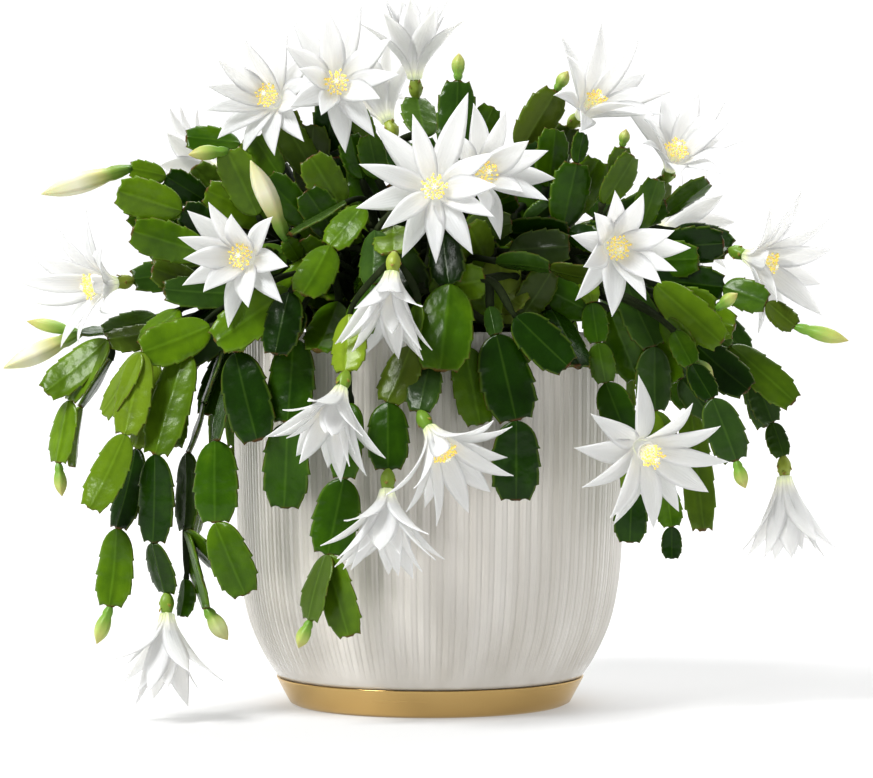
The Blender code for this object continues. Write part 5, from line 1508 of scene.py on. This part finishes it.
def segment_material():
    made, tree = new_material("segment")
    across, along, light, yellow, painted_sheen = place_parts(tree)
    level = calc(tree, "ADD", light, calc(tree, "MULTIPLY_ADD", grain(tree, 70.0, 4.0), 0.56, -0.28))
    colour = ramp(tree, level, (0.0, 0.003, 0.012, 0.0002), (0.3, 0.011, 0.040, 0.0004),
                  (0.6, 0.038, 0.104, 0.0008), (1.0, 0.140, 0.265, 0.003))
    off = calc(tree, "ABSOLUTE", across)
    flank = times(tree, between(tree, off, 0.04, 0.12), beyond(tree, off, 0.12, 0.42))
    # Tints: yellow, then grey as a painted sheen (a grey-green reflection painted into the colour), then
    # darker flanks, a lighter midrib and a lighter margin
    for tint, share, most in (((0.26, 0.33, 0.03), yellow, 0.75), ((0.050, 0.082, 0.034), painted_sheen, 0.8),
                              ((0.006, 0.030, 0.001), flank, 0.18),
                              ((0.16, 0.30, 0.04), beyond(tree, off, 0.015, 0.075), 0.11),
                              ((0.19, 0.30, 0.03), between(tree, off, 0.84, 0.97), 0.30)):
        colour = tinted(tree, colour, tint, share, most)
    edge = times(tree, between(tree, off, 0.93, 1.0), between(tree, grain(tree, 260.0), 0.46, 0.60))
    tip = times(tree, between(tree, along, 0.965, 1.0), between(tree, grain(tree, 170.0), 0.38, 0.54))
    rust = calc(tree, "MAXIMUM", times(tree, edge, 0.6), times(tree, tip, 0.85))
    colour = mixed(tree, rust, colour, (0.12, 0.045, 0.014, 1.0))
    height = calc(tree, "MULTIPLY_ADD", grain(tree, 420.0), 0.10, grain(tree, 75.0))
    return finished(made, {"Base Color": colour, "Roughness": 0.24, "Specular IOR Level": 0.20},
                    height, 0.62, 0.0022)


def wood_material():
    made, tree = new_material("wood")
    mottle = calc(tree, "MULTIPLY_ADD", grain(tree, 240.0, 4.0), 0.8, -0.4)
    colour = ramp(tree, calc(tree, "ADD", place_parts(tree)[2], mottle), (0.0, 0.004, 0.007, 0.001),
                  (0.5, 0.016, 0.026, 0.006), (1.0, 0.045, 0.052, 0.022))
    return finished(made, {"Base Color": colour, "Roughness": 0.75, "Specular IOR Level": 0.15},
                    grain(tree, 500.0, 3.0), 0.5, 0.0004)


def receptacle_material():
    made, tree = new_material("receptacle")
    _, along, light, yellow, _ = place_parts(tree)
    base = mixed(tree, yellow, (0.14, 0.28, 0.02, 1.0), (0.34, 0.40, 0.05, 1.0))
    rust = times(tree, between(tree, light, 0.85, 0.9), between(tree, along, 0.3, 1.0))
    colour = tinted(tree, base, (0.30, 0.10, 0.03), rust, 0.8)
    return finished(made, {"Base Color": colour, "Roughness": 0.42}, grain(tree, 300.0), 0.2, 0.0003)


def bud_material():
    made, tree = new_material("bud")
    _, along, size, _, _ = place_parts(tree)
    large = ramp(tree, along, (0.0, 0.10, 0.24, 0.02), (0.22, 0.22, 0.34, 0.05), (0.36, 0.62, 0.62, 0.26),
                 (0.62, 0.85, 0.83, 0.62), (1.0, 0.62, 0.62, 0.30))
    small = ramp(tree, along, (0.0, 0.12, 0.28, 0.02), (0.35, 0.22, 0.38, 0.05), (0.7, 0.45, 0.52, 0.14),
                 (1.0, 0.50, 0.46, 0.16))
    colour = mixed(tree, between(tree, size, 0.7, 0.95), small, large)
    return finished(made, {"Base Color": colour, "Roughness": 0.45, "Subsurface Weight": 0.15,
                           "Subsurface Scale": 0.002}, grain(tree, 260.0), 0.15, 0.0003)


def petal_material():
    made, tree = new_material("petal")
    across, along, _, _, tube = place_parts(tree)
    colour = ramp(tree, along, (0.0, 0.42, 0.55, 0.08), (0.08, 0.62, 0.66, 0.30), (0.18, 0.56, 0.56, 0.47),
                  (0.30, 0.525, 0.53, 0.525), (1.0, 0.51, 0.515, 0.52))
    # Emission is painted light: every petal glows a little so that its shaded parts look lit, and more on the
    # tube and near the throat, to lift the shade in the bloom's centre
    painted_throat_glow = calc(tree, "MAXIMUM", tube, beyond(tree, along, 0.05, 0.38))
    inputs = {"Base Color": colour, "Roughness": 0.52, "Specular IOR Level": 0.3, "Subsurface Weight": 0.7,
              "Subsurface Radius": (1.0, 0.97, 0.90), "Subsurface Scale": 0.004,
              "Emission Color": (1.0, 1.0, 0.97, 1.0),
              "Emission Strength": calc(tree, "MULTIPLY_ADD", painted_throat_glow, 0.09, 0.17)}
    return finished(made, inputs, calc(tree, "SINE", times(tree, across, 26.0)), 0.12, 0.0003)


def plain_material(name, colour, roughness, subsurface=0.0, painted_glow=0.15):
    made, tree = new_material(name)
    # Emission in the material's own colour is a painted glow that lifts the shade between the stamens
    inputs = {"Base Color": (*colour, 1.0), "Roughness": roughness, "Subsurface Weight": subsurface,
              "Subsurface Scale": 0.001, "Emission Color": (*colour, 1.0), "Emission Strength": painted_glow}
    return finished(made, inputs, grain(tree, 900.0), 0.2, 0.0002)


def ceramic_material():
    made, tree = new_material("ceramic")
    streak = grain(tree, 60.0, 2.0, (1.0, 1.0, 0.04))
    colour = ramp(tree, streak, (0.3, 0.67, 0.635, 0.575), (0.7, 0.78, 0.75, 0.70))
    return finished(made, {"Base Color": colour, "Roughness": 0.24, "Coat Weight": 0.5,
                           "Coat Roughness": 0.18}, grain(tree, 45.0), 0.08, 0.0010)


def brass_material():
    made, tree = new_material("brass")
    brushed = grain(tree, 30.0, 3.0, (1.0, 1.0, 60.0))
    return finished(made, {"Metallic": 1.0, "Base Color": (0.64, 0.45, 0.19, 1.0),
                           "Roughness": calc(tree, "MULTIPLY_ADD", brushed, 0.16, 0.16)},
                    brushed, 0.06, 0.0002)


def soil_material():
    made, tree = new_material("soil")
    colour = ramp(tree, grain(tree, 160.0, 5.0), (0.3, 0.008, 0.006, 0.004), (0.7, 0.060, 0.042, 0.028))
    return finished(made, {"Base Color": colour, "Roughness": 0.95}, grain(tree, 220.0, 4.0), 0.9, 0.0015)


def pot_radius(height):
    """The pot's outer radius on its smooth curve."""
    for (low, near, near_slope), (high, far, far_slope) in zip(POT_CURVE, POT_CURVE[1:]):
        if height <= high:
            run = high - low
            t = max(0.0, (height - low) / run)
            return ((2 * t ** 3 - 3 * t * t + 1) * near + (t ** 3 - 2 * t * t + t) * run * near_slope
                    + (3 * t * t - 2 * t ** 3) * far + (t ** 3 - t * t) * run * far_slope)
    return POT_RADIUS


def pot_rows(inset, *heights):
    """Rows along the pot's smooth curve, so far inside it, at heights in millimetres."""
    return [(pot_radius(height / 1000) - inset, height / 1000) for height in heights]


def make_pot(material):
    """The reeded pot: its outside, its rounded rim, the inside down to its floor, and the spigot below."""
    outer = pot_rows(0.0, 14.3, 16, 18, 20, 23, 26, 30, 35, 40, 46, 53, 62, 72, 84, 98, 114, 130, 146, 162,
                     174, 182)
    rim = [(POT_RADIUS - inset, POT_HEIGHT - below) for inset, below in (
        (0.0, 0.0022), (0.0004, 0.0010), (0.0014, 0.0002), (0.0026, 0.0), (0.0042, 0.0), (0.0056, 0.0005),
        (0.0064, 0.0018))]
    inner = pot_rows(POT_WALL, 176, 150, 110, 80, 60, 45, 34)
    floor = [(0.076, POT_FLOOR_EDGE), (0.060, POT_FLOOR + 0.003), (0.030, POT_FLOOR), (0.001, POT_FLOOR)]
    spigot = [(0.001, FOOT_FLOOR + TOUCH_GAP), (0.0655, FOOT_FLOOR + TOUCH_GAP), (SPIGOT_RADIUS, 0.0045),
              (SPIGOT_RADIUS, 0.0138), (0.0745, 0.0143)]
    rim_row = len(spigot) + len(outer)

    def carve(column, height, row):
        if not len(spigot) <= row <= rim_row + 3:
            return 0.0
        fade = min(1.0, max(0.0, (height - REED_START) / 0.010)) * (1.0 - 0.3 * max(0, row - rim_row))
        return REED_DEPTH * fade * REED[column % len(REED)][1]

    turns = [tau * (index + share) / REED_COUNT for index in range(REED_COUNT) for share, _ in REED]
    shape = Shape()
    shape.add_lathe(spigot + outer + rim + inner + floor, turns, carve)
    shape.make("fine_pot", [material], "ceramic", "pot")


def make_foot(material):
    """The brass cup under the pot, with eased edges."""
    rows = [(0.001, 0.0), (0.0668, 0.0), (0.0678, 0.0003), (0.0702, 0.0015), (0.0720, 0.0048),
            (0.0745, 0.0094), (0.0766, 0.0133), (0.0768, 0.0138), (0.0764, 0.0140), (0.0745, 0.0140),
            (0.0738, 0.0138), (0.0733, 0.0130), (0.0675, 0.0034), (0.0668, FOOT_FLOOR),
            (0.001, FOOT_FLOOR)]
    shape = Shape()
    shape.add_lathe(rows, even_turns(180))
    shape.make("fine_foot", [material], "brass", "foot_cup")


def make_soil(material):
    """Crumbly soil with a lumpy top."""
    rng = random.Random(SOIL_SEED)
    edge = POT_RADIUS - POT_WALL - SOIL_GAP
    rows = [(0.030, 0.0112), (0.070, 0.0240), (0.0765, 0.034)]
    rows += pot_rows(POT_WALL + SOIL_GAP, 45, 60, 80, 110, 150, 171)
    rows += [(edge * share, SOIL_TOP) for share in SOIL_SHARES]
    shape = Shape()
    shape.add_lathe(rows, even_turns(96))
    for point in shape.points:
        if point.z >= SOIL_TOP:
            point.z += 0.0016 * (noise.noise(point * 120) + 0.5 * noise.noise(point * 300))
    for _ in range(CRUMB_COUNT):
        reach = edge * 0.97 * sqrt(rng.random())
        centre = round_axis(reach, rng.uniform(0, tau), SOIL_TOP + rng.uniform(-0.0005, 0.0014))
        way = Vector((rng.uniform(-1, 1), rng.uniform(-1, 1), rng.uniform(-0.5, 1))).normalized()
        size = rng.uniform(0.0008, 0.0022)
        add_grain(shape, centre, way, size, size * rng.uniform(1.4, 2.4), 0)
    shape.make("fine_soil", [material], "soil", "soil")


def make_plant():
    settled, stems = grow_plant()
    leafy = [segment_material(), wood_material(), receptacle_material(), bud_material()]
    petal = [petal_material()]
    # The stamens' materials glow with their own colour: painted light that lifts the shade in the cluster
    golden = [plain_material("filament", (0.98, 0.95, 0.70), 0.5, 0.4),
              plain_material("anther", (1.0, 0.80, 0.24), 0.7, 0.4, 0.22),
              plain_material("stigma", (0.93, 0.93, 0.80), 0.5)]
    for number, (name, stem) in enumerate(stems.items()):
        rng = random.Random(STEM_SEED + number)
        shape = Shape()
        add_crown(shape, name)
        for add_part, parts in ((add_wood, [(course,) for course in stem.wood]), (add_blade, stem.segments),
                                (add_bud, stem.buds), (add_receptacle, stem.receptacles)):
            for part in parts:
                add_part(shape, *part, rng)
        shape.make("fine_" + name, leafy, "segments", name)
    for number, (courses, right, above) in settled.items():
        rng = random.Random(BLOOM_SEED + number)
        shape = Shape()
        add_bloom(shape, number, courses, right, above, rng)
        shape.make("fine_bloom_%02d" % number, petal, "petals", "bloom_%02d" % number)
        shape = Shape()
        add_stamens(shape, number, right, above, rng)
        shape.make("fine_stamens_%02d" % number, golden, "anthers", "stamens_%02d" % number)


def make_world():
    """Soft studio surroundings: a white screen behind the plant, and a dim room in front of it."""
    world = bpy.data.worlds.new("studio")
    bpy.context.scene.world = world
    world.use_nodes = True
    tree = world.node_tree
    way = node(tree, "ShaderNodeTexCoord", {}).outputs["Generated"]
    depth = node(tree, "ShaderNodeSeparateXYZ", {0: way}).outputs[1]
    light = between(tree, depth, -0.25, 0.45, ROOM_LIGHT, 1.0)
    set_inputs(tree, tree.nodes["Background"], {0: (1.0, 1.0, 1.0, 1.0), 1: light})


def stand(name, data, spot, aim):
    """A light or camera at a spot, turned to its aim."""
    thing = bpy.data.objects.new(name, data)
    thing.location = spot
    thing.rotation_euler = (aim - Vector(spot)).to_track_quat("-Z", "Y").to_euler()
    bpy.context.scene.collection.objects.link(thing)
    return thing


def make_light(name, kind, spot, energy, **settings):
    light = bpy.data.lights.new(name, kind)
    light.energy = energy
    for key, value in settings.items():
        setattr(light, key, value)
    stand(name, light, spot, LIGHTS_AIM)


def make_stage():
    """A plain pale floor, soft studio light and the camera."""
    white = (1.0, 1.0, 1.0, 1.0)
    bpy.ops.mesh.primitive_plane_add(size=FLOOR_SIZE, location=(0, 0, 0))
    floor = bpy.context.object
    floor.name = "floor"
    floor.data.materials.append(finished(new_material("floor")[0], {
        "Base Color": (FLOOR_GREY, FLOOR_GREY, FLOOR_GREY, 1.0), "Roughness": 0.9, "Specular IOR Level": 0.1,
        "Emission Color": white, "Emission Strength": FLOOR_GLOW}))
    make_world()
    make_light("key", "SUN", (-1.65, -1.45, 2.35), 3.3, angle=radians(24))
    make_light("back", "SUN", (0.4, 1.5, 2.2), 1.35, angle=radians(38))
    make_light("fill", "AREA", (2.2, -1.8, 1.0), 2.5, size=1.6)
    eye = bpy.data.cameras.new("camera")
    eye.lens = CAMERA_LENS
    eye.sensor_width = CAMERA_FILM
    camera = stand("camera", eye, (0.0, -EYE_DISTANCE, POT_HEIGHT), CAMERA_AIM)
    bpy.context.scene.camera = camera
    settings = bpy.context.scene.view_settings
    settings.view_transform = "Standard"
    settings.exposure = EXPOSURE
    settings.gamma = GAMMA


make_pot(ceramic_material())
make_foot(brass_material())
make_soil(soil_material())
make_plant()
make_stage()
